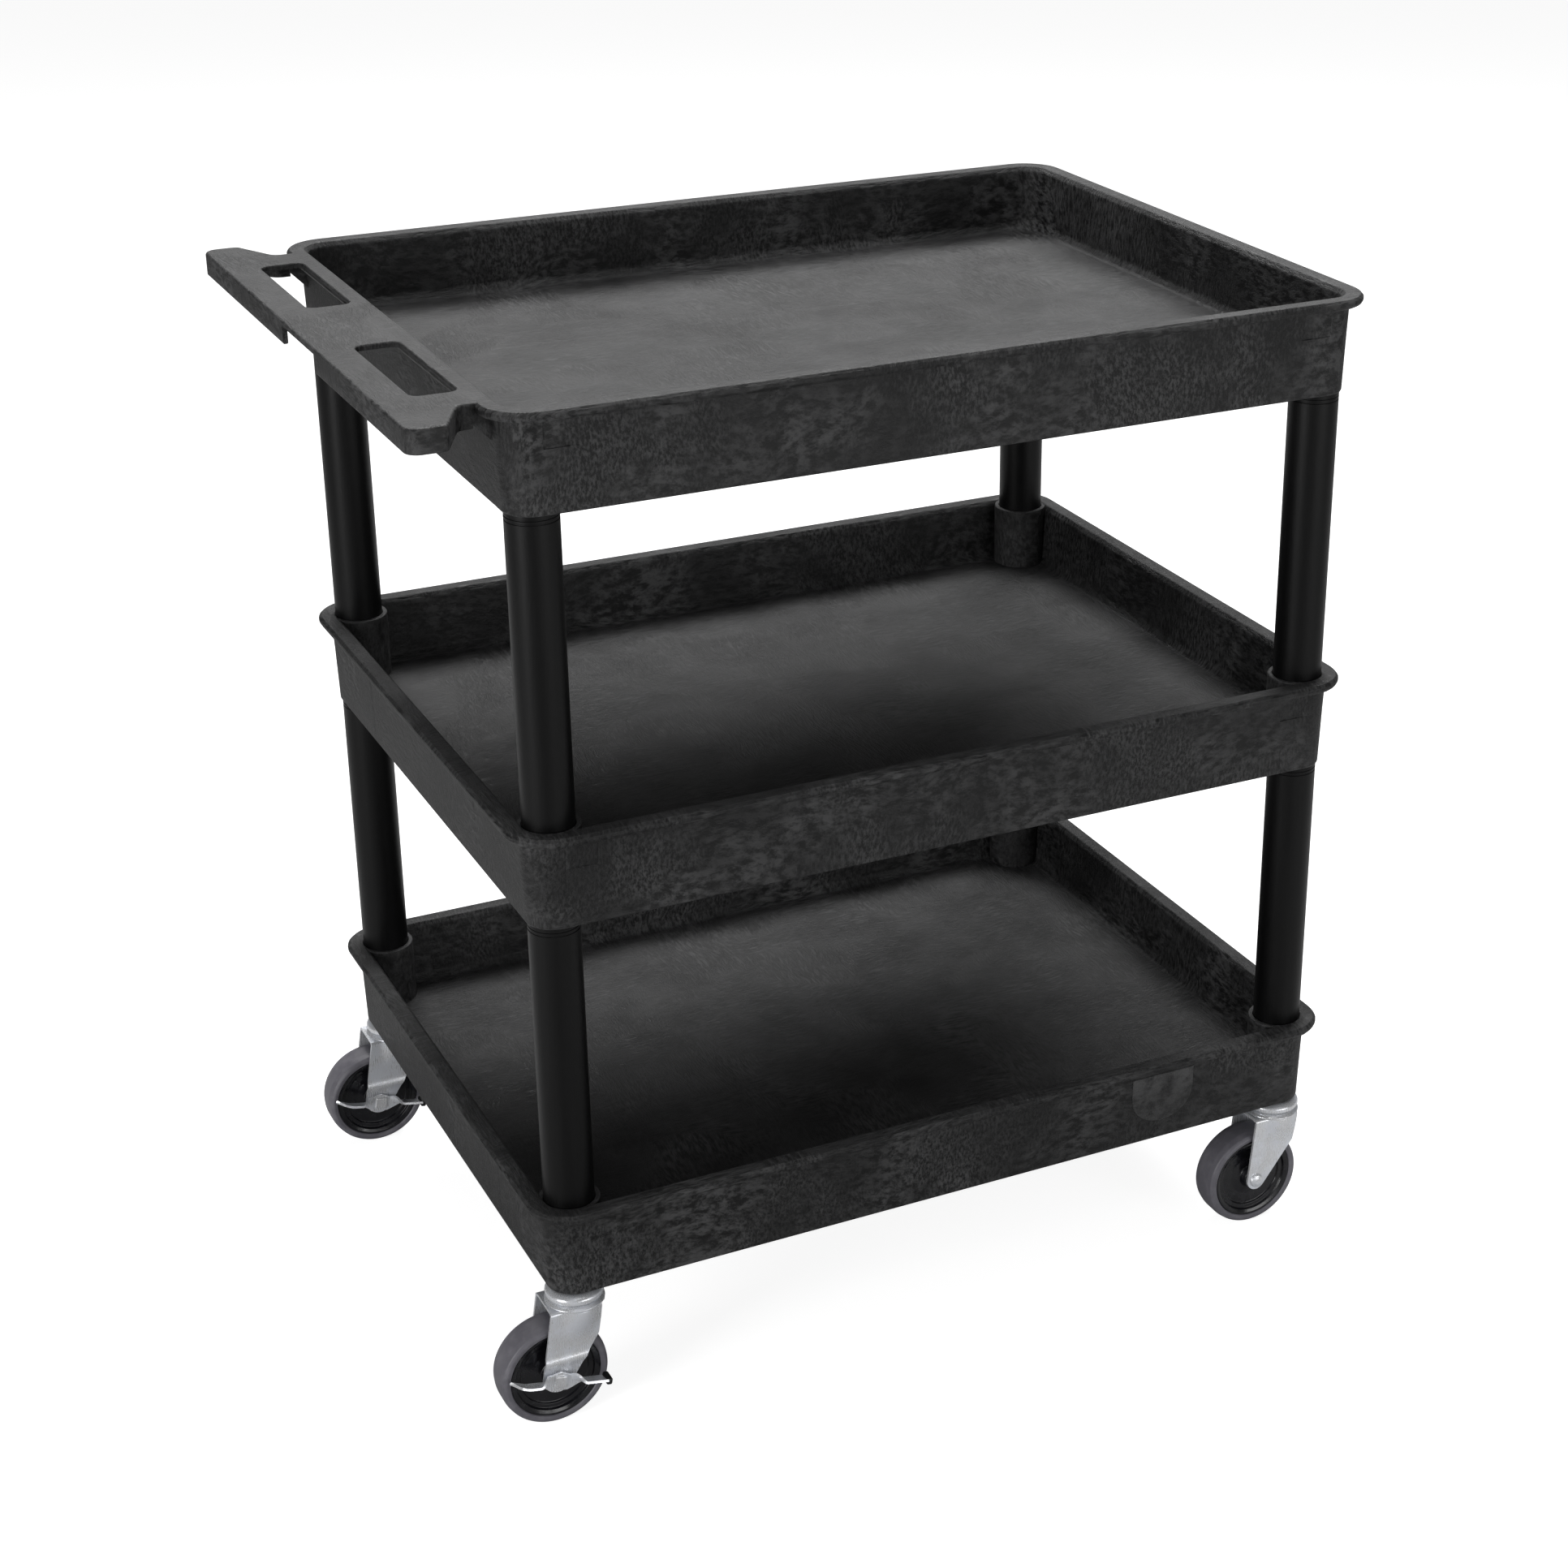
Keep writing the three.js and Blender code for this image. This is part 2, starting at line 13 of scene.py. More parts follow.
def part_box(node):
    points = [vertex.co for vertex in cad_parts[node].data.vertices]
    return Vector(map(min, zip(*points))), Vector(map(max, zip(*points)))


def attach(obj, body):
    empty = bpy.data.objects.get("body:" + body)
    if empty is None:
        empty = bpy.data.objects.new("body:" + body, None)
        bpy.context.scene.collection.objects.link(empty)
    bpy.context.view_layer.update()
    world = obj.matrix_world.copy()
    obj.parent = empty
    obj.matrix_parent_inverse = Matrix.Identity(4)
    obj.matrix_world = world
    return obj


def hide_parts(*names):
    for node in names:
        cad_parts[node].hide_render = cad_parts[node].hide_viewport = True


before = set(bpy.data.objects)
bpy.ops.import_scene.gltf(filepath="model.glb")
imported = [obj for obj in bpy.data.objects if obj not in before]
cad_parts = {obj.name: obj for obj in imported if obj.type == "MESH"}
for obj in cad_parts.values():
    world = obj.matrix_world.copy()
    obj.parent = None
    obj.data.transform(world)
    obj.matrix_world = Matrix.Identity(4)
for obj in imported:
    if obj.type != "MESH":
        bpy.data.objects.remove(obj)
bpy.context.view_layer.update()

LOG = logging.getLogger("cart")
MM = 0.001
TINY = 1e-7
CORNERS = ("rear_right", "rear_left", "front_right", "front_left")

Pair = tuple[float, float]
Rounded = tuple[float, float, float]
Node = bpy.types.Node
Object = bpy.types.Object


class Cut(Enum):
    """What one solid does to another."""

    JOIN = "UNION"
    REMOVE = "DIFFERENCE"
    KEEP_COMMON = "INTERSECT"


class Axis(Enum):
    """The axis that a turned piece is turned about."""

    UP = "Z"
    ACROSS = "Y"


# ---------- shapes ----------


def smoothstep(low: float, high: float, value: float) -> float:
    """0 below low, 1 above high, and a smooth rise between them."""
    t = min(max((value - low) / (high - low), 0.0), 1.0)
    return t * t * (3 - 2 * t)


def filleted(corners: Sequence[Rounded], steps: int = 4, closed: bool = False) -> list[Pair]:
    """Rounds the corners of a flat outline.

    Args:
        corners: (u, v, radius) of each corner; radius 0 keeps it sharp.
        steps: Segments in each rounded corner.
        closed: Whether the last corner joins the first.

    Returns:
        The outline's points, with an arc at each rounded corner.
    """
    points: list[Pair] = []
    for index, (u, v, radius) in enumerate(corners):
        here = Vector((u, v))
        at_end = not closed and index in (0, len(corners) - 1)
        if at_end or radius <= 0:
            points.append((u, v))
            continue
        before = Vector(corners[index - 1][:2]) - here
        after = Vector(corners[(index + 1) % len(corners)][:2]) - here
        half = before.angle(after) / 2
        reach = min(radius / math.tan(half), before.length * 0.48, after.length * 0.48)
        middle = (before.normalized() + after.normalized()).normalized()
        centre = here + middle * (reach / math.cos(half))
        start = here + before.normalized() * reach - centre
        finish = here + after.normalized() * reach - centre
        turn = math.copysign(start.angle(finish, 0.0), start.x * finish.y - start.y * finish.x)
        for step in range(steps + 1):
            points.append(tuple(centre + Matrix.Rotation(turn * step / steps, 2) @ start))
    return points


def offset_ring(points: Sequence[Pair], distance: float) -> list[Pair]:
    """A closed anticlockwise outline moved outwards by a distance, or inwards if it is negative."""
    moved = []
    for index, point in enumerate(points):
        before = Vector(point) - Vector(points[index - 1])
        after = Vector(points[(index + 1) % len(points)]) - Vector(point)
        normal = (before.normalized() + after.normalized()).normalized()
        spread = max(normal.dot(after.normalized()), 0.3)
        moved.append((point[0] + normal.y * distance / spread, point[1] - normal.x * distance / spread))
    return moved


def mesh_object(name: str, build: bmesh.types.BMesh) -> Object:
    """Makes an object of a finished bmesh and frees it."""
    mesh = bpy.data.meshes.new(name)
    build.to_mesh(mesh)
    build.free()
    made = bpy.data.objects.new(name, mesh)
    bpy.context.scene.collection.objects.link(made)
    return made


def grid_faces(build: bmesh.types.BMesh, rows: list[list[bmesh.types.BMVert]], wrap: bool) -> None:
    """Fills the quads between rows of equal length; wrap joins each row's end to its start."""
    count = len(rows[0])
    for row, above in zip(rows, rows[1:]):
        for index in range(count if wrap else count - 1):
            following = (index + 1) % count
            corners = (row[index], row[following], above[following], above[index])
            if len(set(corners)) > 2:
                build.faces.new(corners)


def loft(name: str, rings: Sequence[Sequence[Vector]]) -> Object:
    """A closed solid through a stack of rings, with a flat face on the first and the last."""
    build = bmesh.new()
    rows = [[build.verts.new(point) for point in ring] for ring in rings]
    grid_faces(build, rows, wrap=True)
    build.faces.new(rows[0])
    build.faces.new(rows[-1])
    bmesh.ops.recalc_face_normals(build, faces=build.faces)
    return mesh_object(name, build)


def divide_flat(build: bmesh.types.BMesh, height: float, axis: Vector, places: Sequence[float]) -> list:
    """Cuts the level faces at a height along planes square to an axis.

    Args:
        build: The mesh.
        height: Where the faces are.
        axis: The planes' normal.
        places: Where the planes are along it.

    Returns:
        The points and edges made by the cuts.
    """
    made = []
    for place in places:
        flat = [face for face in build.faces if all(abs(v.co.z - height) < TINY for v in face.verts)]
        edges = {edge for face in flat for edge in face.edges}
        vertices = {vertex for face in flat for vertex in face.verts}
        cut = bmesh.ops.bisect_plane(
            build, geom=[*vertices, *edges, *flat], dist=TINY, plane_co=axis * place, plane_no=axis)
        made += cut["geom_cut"]
    return made


def turned(
    name: str,
    profile: Sequence[Pair],
    centre: Vector,
    axis: Axis = Axis.UP,
    segments: int = 96,
) -> Object:
    """A solid of revolution.

    Args:
        name: The object's name.
        profile: (radius, distance along the axis) points; it closes on itself unless both its ends
            are on the axis.
        centre: The point that distances along the axis start from.
        axis: What it is turned about.
        segments: Segments round the axis.

    Returns:
        The new object.
    """
    build = bmesh.new()
    rows = []
    hollow = profile[0][0] > 0 or profile[-1][0] > 0
    for radius, along in [*profile, profile[0]] if hollow else profile:
        row = []
        for step in range(segments):
            angle = math.tau * step / segments
            u, v = radius * math.cos(angle), radius * math.sin(angle)
            offset = (u, v, along) if axis is Axis.UP else (u, along, v)
            row.append(build.verts.new(centre + Vector(offset)))
        rows.append(row)
    grid_faces(build, rows, wrap=True)
    bmesh.ops.remove_doubles(build, verts=build.verts, dist=TINY)
    bmesh.ops.recalc_face_normals(build, faces=build.faces)
    return mesh_object(name, build)


def box_solid(name: str, low: Sequence[float], high: Sequence[float], bevel: float = 0.0) -> Object:
    """A box between two corners, its edges rounded by bevel."""
    build = bmesh.new()
    size = Vector(high) - Vector(low)
    place = Matrix.Translation((Vector(high) + Vector(low)) / 2) @ Matrix.Diagonal((*size, 1))
    bmesh.ops.create_cube(build, size=1, matrix=place)
    if bevel:
        bmesh.ops.bevel(build, geom=build.edges, offset=bevel, segments=3, profile=0.5, affect="EDGES")
    return mesh_object(name, build)


def sheet(
    name: str,
    rows: Sequence[Sequence[Vector]],
    thickness: float,
    rounding: float = 0.0,
) -> Object:
    """A pressed metal sheet.

    Args:
        name: The object's name.
        rows: A grid of points on the sheet's outer face, wound so that its normals point out.
        thickness: How thick it is, measured inwards.
        rounding: Radius of its cut edges.

    Returns:
        The new object, a closed solid.
    """
    build = bmesh.new()
    grid_faces(build, [[build.verts.new(point) for point in row] for row in rows], wrap=False)
    bmesh.ops.remove_doubles(build, verts=build.verts, dist=TINY)
    made = mesh_object(name, build)
    thick = made.modifiers.new("thickness", "SOLIDIFY")
    thick.thickness = thickness
    thick.offset = -1
    thick.use_even_offset = True
    if rounding:
        bevel = made.modifiers.new("rounding", "BEVEL")
        bevel.width = rounding
        bevel.segments = 2
        bevel.limit_method = "ANGLE"
        bevel.angle_limit = math.radians(50)
    settle(made)
    return made


def settle(made: Object) -> None:
    """Applies an object's modifiers to its mesh."""
    bpy.context.view_layer.update()
    evaluated = made.evaluated_get(bpy.context.evaluated_depsgraph_get())
    mesh = bpy.data.meshes.new_from_object(evaluated)
    made.modifiers.clear()
    old, made.data = made.data, mesh
    bpy.data.meshes.remove(old)
    mesh.name = made.name


def carve(base: Object, tool: Object, cut: Cut) -> None:
    """Joins a solid to another, or cuts it by it, and deletes the tool."""
    modifier = base.modifiers.new("carve", "BOOLEAN")
    modifier.operation = cut.value
    modifier.solver = "MANIFOLD"
    modifier.object = tool
    settle(base)
    discard(tool)


def discard(made: Object) -> None:
    """Deletes a scratch object and its mesh."""
    mesh = made.data
    bpy.data.objects.remove(made)
    bpy.data.meshes.remove(mesh)


def gathered(name: str, parts: Sequence[Object]) -> Object:
    """One object of several separate solids."""
    build = bmesh.new()
    for part in parts:
        build.from_mesh(part.data)
        discard(part)
    return mesh_object(name, build)


def smooth(made: Object, sharp_from: float = 32) -> None:
    """Shades an object smooth, except over edges sharper than an angle in degrees."""
    made.data.shade_smooth()
    made.data.set_sharp_from_angle(angle=math.radians(sharp_from))
    weighted = made.modifiers.new("weighted", "WEIGHTED_NORMAL")
    weighted.keep_sharp = True
    settle(made)


def centre_of(node: str) -> Vector:
    """The middle of a CAD node's box."""
    low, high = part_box(node)
    return (Vector(low) + Vector(high)) / 2


# ---------- shader effects shared by several finishes ----------


def put(tree: bpy.types.NodeTree, kind: str, inputs: dict | None = None, **settings: object) -> Node:
    """Adds a node.

    Args:
        tree: The tree that it goes into.
        kind: Its type, without the "ShaderNode" in front.
        inputs: Values or output sockets for its inputs, by name or index.
        settings: Its own properties.

    Returns:
        The new node.
    """
    node = tree.nodes.new("ShaderNode" + kind)
    for key, value in settings.items():
        setattr(node, key, value)
    for key, value in (inputs or {}).items():
        if isinstance(value, bpy.types.NodeSocket):
            tree.links.new(value, node.inputs[key])
        else:
            node.inputs[key].default_value = value
    return node


def maths(tree: bpy.types.NodeTree, operation: str, *values: object) -> bpy.types.NodeSocket:
    """The result of a Math node."""
    return put(tree, "Math", dict(enumerate(values)), operation=operation).outputs[0]


def noise_of(
    tree: bpy.types.NodeTree, vector: object, scale: float, detail: float = 3, rough: float = 0.5,
) -> Node:
    """A noise texture over a vector."""
    return put(tree, "TexNoise", {"Vector": vector, "Scale": scale, "Detail": detail, "Roughness": rough})


def spread(tree: bpy.types.NodeTree, value: object, low: float, high: float) -> bpy.types.NodeSocket:
    """A value stretched so that low becomes 0 and high becomes 1, with smooth ends."""
    inputs = {"Value": value, "From Min": low, "From Max": high}
    return put(tree, "MapRange", inputs, interpolation_type="SMOOTHSTEP").outputs["Result"]


@dataclass(frozen=True)
class Effect:
    """A shader node group that several finishes use."""

    name: str
    inputs: dict[str, object]
    outputs: tuple[str, ...]
    wire: Callable[[bpy.types.NodeTree, Node, Node], None]

    def tree(self) -> bpy.types.NodeTree:
        """The group, built the first time it is asked for."""
        if self.name in bpy.data.node_groups:
            return bpy.data.node_groups[self.name]
        group = bpy.data.node_groups.new(self.name, "ShaderNodeTree")
        for name, value in self.inputs.items():
            kind = "NodeSocketVector" if value is None else "NodeSocketFloat"
            socket = group.interface.new_socket(name, in_out="INPUT", socket_type=kind)
            if value is not None:
                socket.default_value = value
        for name in self.outputs:
            group.interface.new_socket(name, in_out="OUTPUT", socket_type="NodeSocketFloat")
        source = group.nodes.new("NodeGroupInput")
        sink = group.nodes.new("NodeGroupOutput")
        self.wire(group, source, sink)
        return group

    def use(self, tree: bpy.types.NodeTree, inputs: dict[str, object]) -> Node:
        """Places the group in a material with values of its own."""
        node = put(tree, "Group", None, node_tree=self.tree())
        for key, value in inputs.items():
            if isinstance(value, bpy.types.NodeSocket):
                tree.links.new(value, node.inputs[key])
            else:
                node.inputs[key].default_value = value
        return node


def wire_flow_marks(tree: bpy.types.NodeTree, source: Node, sink: Node) -> None:
    """Hair-fine streaks that swirl as the plastic flowed, and broad cloudy patches."""
    place = source.outputs["Vector"]
    swirl = noise_of(tree, place, 5.0, 2).outputs["Color"]
    centred = put(tree, "VectorMath", {0: swirl, 1: (0.5, 0.5, 0.5)}, operation="SUBTRACT").outputs[0]
    bent = put(tree, "VectorMath", {0: centred, 3: source.outputs["Swirl"]}, operation="SCALE").outputs[0]
    warped = put(tree, "VectorMath", {0: place, 1: bent}, operation="ADD").outputs[0]
    stretched = put(tree, "VectorMath", {0: warped, 1: (0.16, 1.0, 0.3)}, operation="MULTIPLY").outputs[0]
    other = put(tree, "VectorMath", {0: warped, 1: (1.0, 0.2, 0.55)}, operation="MULTIPLY").outputs[0]
    streaks = noise_of(tree, stretched, 430, 4, 0.7).outputs["Fac"]
    cross = noise_of(tree, other, 380, 4, 0.7).outputs["Fac"]
    choice = spread(tree, noise_of(tree, place, 9, 2).outputs["Fac"], 0.42, 0.58)
    lines = put(tree, "Mix", {0: choice, 2: streaks, 3: cross}, data_type="FLOAT").outputs[0]
    tree.links.new(spread(tree, lines, 0.38, 0.64), sink.inputs["Streaks"])
    clouds = noise_of(tree, warped, 11, 4, 0.6).outputs["Fac"]
    tree.links.new(spread(tree, clouds, 0.32, 0.7), sink.inputs["Clouds"])


def wire_grain(tree: bpy.types.NodeTree, source: Node, sink: Node) -> None:
    """Fine pits of a given size."""
    size = maths(tree, "DIVIDE", 1.0, source.outputs["Size"])
    pits = put(tree, "TexVoronoi", {"Vector": source.outputs["Vector"], "Scale": size}, feature="F1")
    fine = put(tree, "TexNoise", {"Vector": source.outputs["Vector"], "Scale": size, "Detail": 4})
    height = maths(tree, "MULTIPLY", pits.outputs["Distance"], fine.outputs["Fac"])
    tree.links.new(height, sink.inputs["Height"])


def wire_edge_wear_and_highlight(tree: bpy.types.NodeTree, source: Node, sink: Node) -> None:
    """Where convex edges are rubbed bright and carry a painted highlight, broken up by noise."""
    point = put(tree, "NewGeometry").outputs["Pointiness"]
    edge = put(tree, "MapRange", {
        "Value": point, "From Min": source.outputs["Start"], "From Max": source.outputs["Full"],
    }).outputs["Result"]
    patchy = spread(tree, noise_of(tree, source.outputs["Vector"], 60, 4, 0.7).outputs["Fac"], 0.3, 0.62)
    tree.links.new(maths(tree, "MULTIPLY", edge, patchy), sink.inputs["Wear_and_highlight"])


def wire_dust_and_sheen(tree: bpy.types.NodeTree, source: Node, sink: Node) -> None:
    """A dry dust bloom and a painted sheen on faces that look up: patchy lightening where the overhead light's
    reflection falls.
    """
    normal = put(tree, "NewGeometry").outputs["Normal"]
    upward = put(tree, "SeparateXYZ", {0: normal}).outputs["Z"]
    facing = spread(tree, upward, 0.6, 0.98)
    patchy = spread(tree, noise_of(tree, source.outputs["Vector"], 14, 5, 0.6).outputs["Fac"], 0.25, 0.75)
    tree.links.new(maths(tree, "MULTIPLY", facing, patchy), sink.inputs["Dust_and_sheen"])


def wire_brushing(tree: bpy.types.NodeTree, source: Node, sink: Node) -> None:
    """Long fine lines along Z, with slow bands between them."""
    drawn = put(tree, "VectorMath", {0: source.outputs["Vector"], 1: (1, 1, 0.05)}, operation="MULTIPLY")
    lines = noise_of(tree, drawn.outputs[0], 1600, 3, 0.6).outputs["Fac"]
    bands = noise_of(tree, drawn.outputs[0], 130, 2).outputs["Fac"]
    tree.links.new(spread(tree, lines, 0.3, 0.7), sink.inputs["Lines"])
    tree.links.new(spread(tree, bands, 0.35, 0.65), sink.inputs["Bands"])


FLOW_MARKS = Effect("flow_marks", {"Vector": None, "Swirl": 0.08}, ("Streaks", "Clouds"), wire_flow_marks)
GRAIN = Effect("grain", {"Vector": None, "Size": 0.001}, ("Height",), wire_grain)
EDGE_WEAR_AND_HIGHLIGHT = Effect("edge_wear_and_highlight", {"Vector": None, "Start": 0.51, "Full": 0.58}, ("Wear_and_highlight",), wire_edge_wear_and_highlight)
DUST_AND_SHEEN = Effect("dust_and_sheen", {"Vector": None}, ("Dust_and_sheen",), wire_dust_and_sheen)
BRUSHING = Effect("brushing", {"Vector": None}, ("Lines", "Bands"), wire_brushing)


# ---------- finishes ----------


@dataclass(frozen=True)
class Finish:
    """What every finish has: its name, its colours and its shader."""

    name: str
    colour: tuple[float, float, float]
    pale: tuple[float, float, float]

    def material(self) -> bpy.types.Material:
        """The material, built the first time it is asked for."""
        title = f"{self.name}_finish"
        if title in bpy.data.materials:
            return bpy.data.materials[title]
        made = bpy.data.materials.new(title)
        made.use_nodes = True
        made.diffuse_color = (*self.colour, 1)
        tree = made.node_tree
        shader = tree.nodes["Principled BSDF"]
        place = put(tree, "TexCoord").outputs["Object"]
        self.wire(tree, shader, place)
        return made

    def wire(self, tree: bpy.types.NodeTree, shader: Node, place: bpy.types.NodeSocket) -> None:
        """Wires the finish's own nodes into its shader."""
        raise NotImplementedError

    def blend(self, tree: bpy.types.NodeTree, mask: object, low: object, high: object) -> bpy.types.NodeSocket:
        """A colour between two, by a mask."""
        low = (*low, 1) if isinstance(low, tuple) else low
        high = (*high, 1) if isinstance(high, tuple) else high
        return put(tree, "Mix", {0: mask, 6: low, 7: high}, data_type="RGBA").outputs[2]

    def bump(self, tree: bpy.types.NodeTree, shader: Node, height: object, distance: float) -> None:
        """Feeds a height to the shader's normal."""
        node = put(tree, "Bump", {"Height": height, "Distance": distance, "Strength": 1.0})
        tree.links.new(node.outputs["Normal"], shader.inputs["Normal"])


@dataclass(frozen=True)
class FoamPlastic(Finish):
    """Black structural-foam plastic with swirled flow marks."""

    gloss: float = 0.48
    swirl: float = 0.045
    relief: float = 0.00035

    def wire(self, tree: bpy.types.NodeTree, shader: Node, place: bpy.types.NodeSocket) -> None:
        """Streaks and clouds in colour and roughness, a rubbed edge with a painted highlight, dust with a
        painted sheen on upward faces, and fine relief.
        """
        flow = FLOW_MARKS.use(tree, {"Vector": place, "Swirl": self.swirl})
        grain = GRAIN.use(tree, {"Vector": place, "Size": 0.0013})
        wear_and_highlight = EDGE_WEAR_AND_HIGHLIGHT.use(tree, {"Vector": place}).outputs["Wear_and_highlight"]
        dust_and_sheen = DUST_AND_SHEEN.use(tree, {"Vector": place})
        streaks, clouds = flow.outputs["Streaks"], flow.outputs["Clouds"]
        mottled = maths(tree, "MULTIPLY", streaks, maths(tree, "MULTIPLY_ADD", clouds, 0.75, 0.2))
        base = self.blend(tree, mottled, self.colour, self.pale)
        # Convex edges, the lip included, are painted lighter: partly rubbed wear, partly a painted highlight.
        rubbed_and_highlit = self.blend(tree, maths(tree, "MULTIPLY", wear_and_highlight, 0.5), base, tuple(1.5 * c for c in self.pale))
        # Painted sheen, partly dust: faces that look up are lightened towards pale grey to stand in for the
        # overhead light's reflection.
        dust_and_sheen_amount = maths(tree, "MULTIPLY", dust_and_sheen.outputs["Dust_and_sheen"], 0.22)
        tree.links.new(self.blend(tree, dust_and_sheen_amount, rubbed_and_highlit, (0.11, 0.11, 0.112)), shader.inputs["Base Color"])
        rough = maths(tree, "MULTIPLY_ADD", clouds, 0.1, self.gloss - 0.05)
        rough = maths(tree, "MULTIPLY_ADD", streaks, 0.16, rough)
        rough = maths(tree, "MULTIPLY_ADD", wear_and_highlight, -0.14, rough)
        tree.links.new(rough, shader.inputs["Roughness"])
        height = maths(tree, "MULTIPLY_ADD", grain.outputs["Height"], 0.5, streaks)
        self.bump(tree, shader, height, self.relief)
        shader.inputs["Specular IOR Level"].default_value = 0.3


@dataclass(frozen=True)
class TubePlastic(Finish):
    """Black extruded plastic with faint lengthwise drawing lines."""

    gloss: float = 0.34

    def wire(self, tree: bpy.types.NodeTree, shader: Node, place: bpy.types.NodeSocket) -> None:
        """Drawing lines and a little grain."""
        lines = BRUSHING.use(tree, {"Vector": place})
        grain = GRAIN.use(tree, {"Vector": place, "Size": 0.0009})
        mask = maths(tree, "MULTIPLY", lines.outputs["Bands"], 0.6)
        tree.links.new(self.blend(tree, mask, self.colour, self.pale), shader.inputs["Base Color"])
        rough = maths(tree, "MULTIPLY_ADD", lines.outputs["Lines"], 0.08, self.gloss)
        tree.links.new(rough, shader.inputs["Roughness"])
        height = maths(tree, "MULTIPLY_ADD", grain.outputs["Height"], 0.6, lines.outputs["Lines"])
        self.bump(tree, shader, height, 0.00003)
        shader.inputs["Specular IOR Level"].default_value = 0.22


@dataclass(frozen=True)
class ZincSteel(Finish):
    """Bright zinc-plated steel, brushed upright, with a bluish cast and dull spots."""

    gloss: float = 0.2

    def wire(self, tree: bpy.types.NodeTree, shader: Node, place: bpy.types.NodeSocket) -> None:
        """Brushed lines, passivation clouds and rubbed edges on a metal base."""
        lines = BRUSHING.use(tree, {"Vector": place})
        wear_and_highlight = EDGE_WEAR_AND_HIGHLIGHT.use(tree, {"Vector": place}).outputs["Wear_and_highlight"]
        cast = spread(tree, noise_of(tree, place, 55, 3).outputs["Fac"], 0.35, 0.68)
        base = self.blend(tree, cast, self.colour, self.pale)
        faint = maths(tree, "MULTIPLY", lines.outputs["Lines"], 0.25)
        lined = self.blend(tree, faint, base, (0.6, 0.61, 0.63))
        tree.links.new(self.blend(tree, wear_and_highlight, lined, (0.86, 0.86, 0.87)), shader.inputs["Base Color"])
        rough = maths(tree, "MULTIPLY_ADD", lines.outputs["Lines"], 0.16, self.gloss)
        rough = maths(tree, "MULTIPLY_ADD", cast, 0.08, rough)
        tree.links.new(rough, shader.inputs["Roughness"])
        self.bump(tree, shader, lines.outputs["Lines"], 0.00002)
        shader.inputs["Metallic"].default_value = 0.6


@dataclass(frozen=True)
class TreadRubber(Finish):
    """Grey tread rubber with faint turning marks and scuffs."""

    def wire(self, tree: bpy.types.NodeTree, shader: Node, place: bpy.types.NodeSocket) -> None:
        """Scuffs in colour and a matt grain."""
        grain = GRAIN.use(tree, {"Vector": place, "Size": 0.0006})
        scuffs = spread(tree, noise_of(tree, place, 90, 5, 0.65).outputs["Fac"], 0.4, 0.75)
        tree.links.new(self.blend(tree, scuffs, self.colour, self.pale), shader.inputs["Base Color"])
        tree.links.new(maths(tree, "MULTIPLY_ADD", scuffs, 0.2, 0.42), shader.inputs["Roughness"])
        self.bump(tree, shader, grain.outputs["Height"], 0.00006)


@dataclass(frozen=True)
class GlossPlastic(Finish):
    """Dark glossy moulded plastic with light handling marks."""

    gloss: float = 0.16

    def wire(self, tree: bpy.types.NodeTree, shader: Node, place: bpy.types.NodeSocket) -> None:
        """A little dulling in patches."""
        dull = spread(tree, noise_of(tree, place, 70, 5, 0.6).outputs["Fac"], 0.42, 0.72)
        grain = GRAIN.use(tree, {"Vector": place, "Size": 0.0016})
        tree.links.new(self.blend(tree, dull, self.colour, self.pale), shader.inputs["Base Color"])
        tree.links.new(maths(tree, "MULTIPLY_ADD", dull, 0.22, self.gloss), shader.inputs["Roughness"])
        self.bump(tree, shader, grain.outputs["Height"], 0.00003)


TUB_PLASTIC = FoamPlastic("tub_plastic", (0.004, 0.004, 0.0042), (0.075, 0.075, 0.076))
LEG_PLASTIC = TubePlastic("leg_plastic", (0.0012, 0.0012, 0.0013), (0.003, 0.003, 0.0032))
ZINC_STEEL = ZincSteel("zinc_steel", (0.80, 0.81, 0.83), (0.86, 0.89, 0.95))
TREAD_RUBBER = TreadRubber("tread_rubber", (0.125, 0.121, 0.14), (0.17, 0.165, 0.185))
WHEEL_PLASTIC = GlossPlastic("wheel_plastic", (0.006, 0.006, 0.008), (0.013, 0.013, 0.016))
NYLON = GlossPlastic("nylon", (0.03, 0.03, 0.032), (0.05, 0.05, 0.052), gloss=0.35)
GRIP_RUBBER = GlossPlastic("grip_rubber", (0.006, 0.006, 0.0065), (0.011, 0.011, 0.012), gloss=0.4)


def dress(piece: Object, finish: Finish, body: str, nodes: Sequence[str], sharp_from: float = 32) -> Object:
    """Finishes a piece and hands it to the frame.

    Args:
        piece: The piece, in place.
        finish: Its finish, whose material it is given.
        body: The CAD body that it rides on.
        nodes: The CAD nodes that it stands for.
        sharp_from: Edges sharper than this angle stay sharp.

    Returns:
        The piece.
    """
    smooth(piece, sharp_from)
    piece.data.materials.clear()
    piece.data.materials.append(finish.material())
    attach(piece, body)
    if nodes:
        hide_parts(*nodes)
    LOG.info("%s: %d faces, on %s", piece.name, len(piece.data.polygons), body)
    return piece


# ---------- tubs ----------


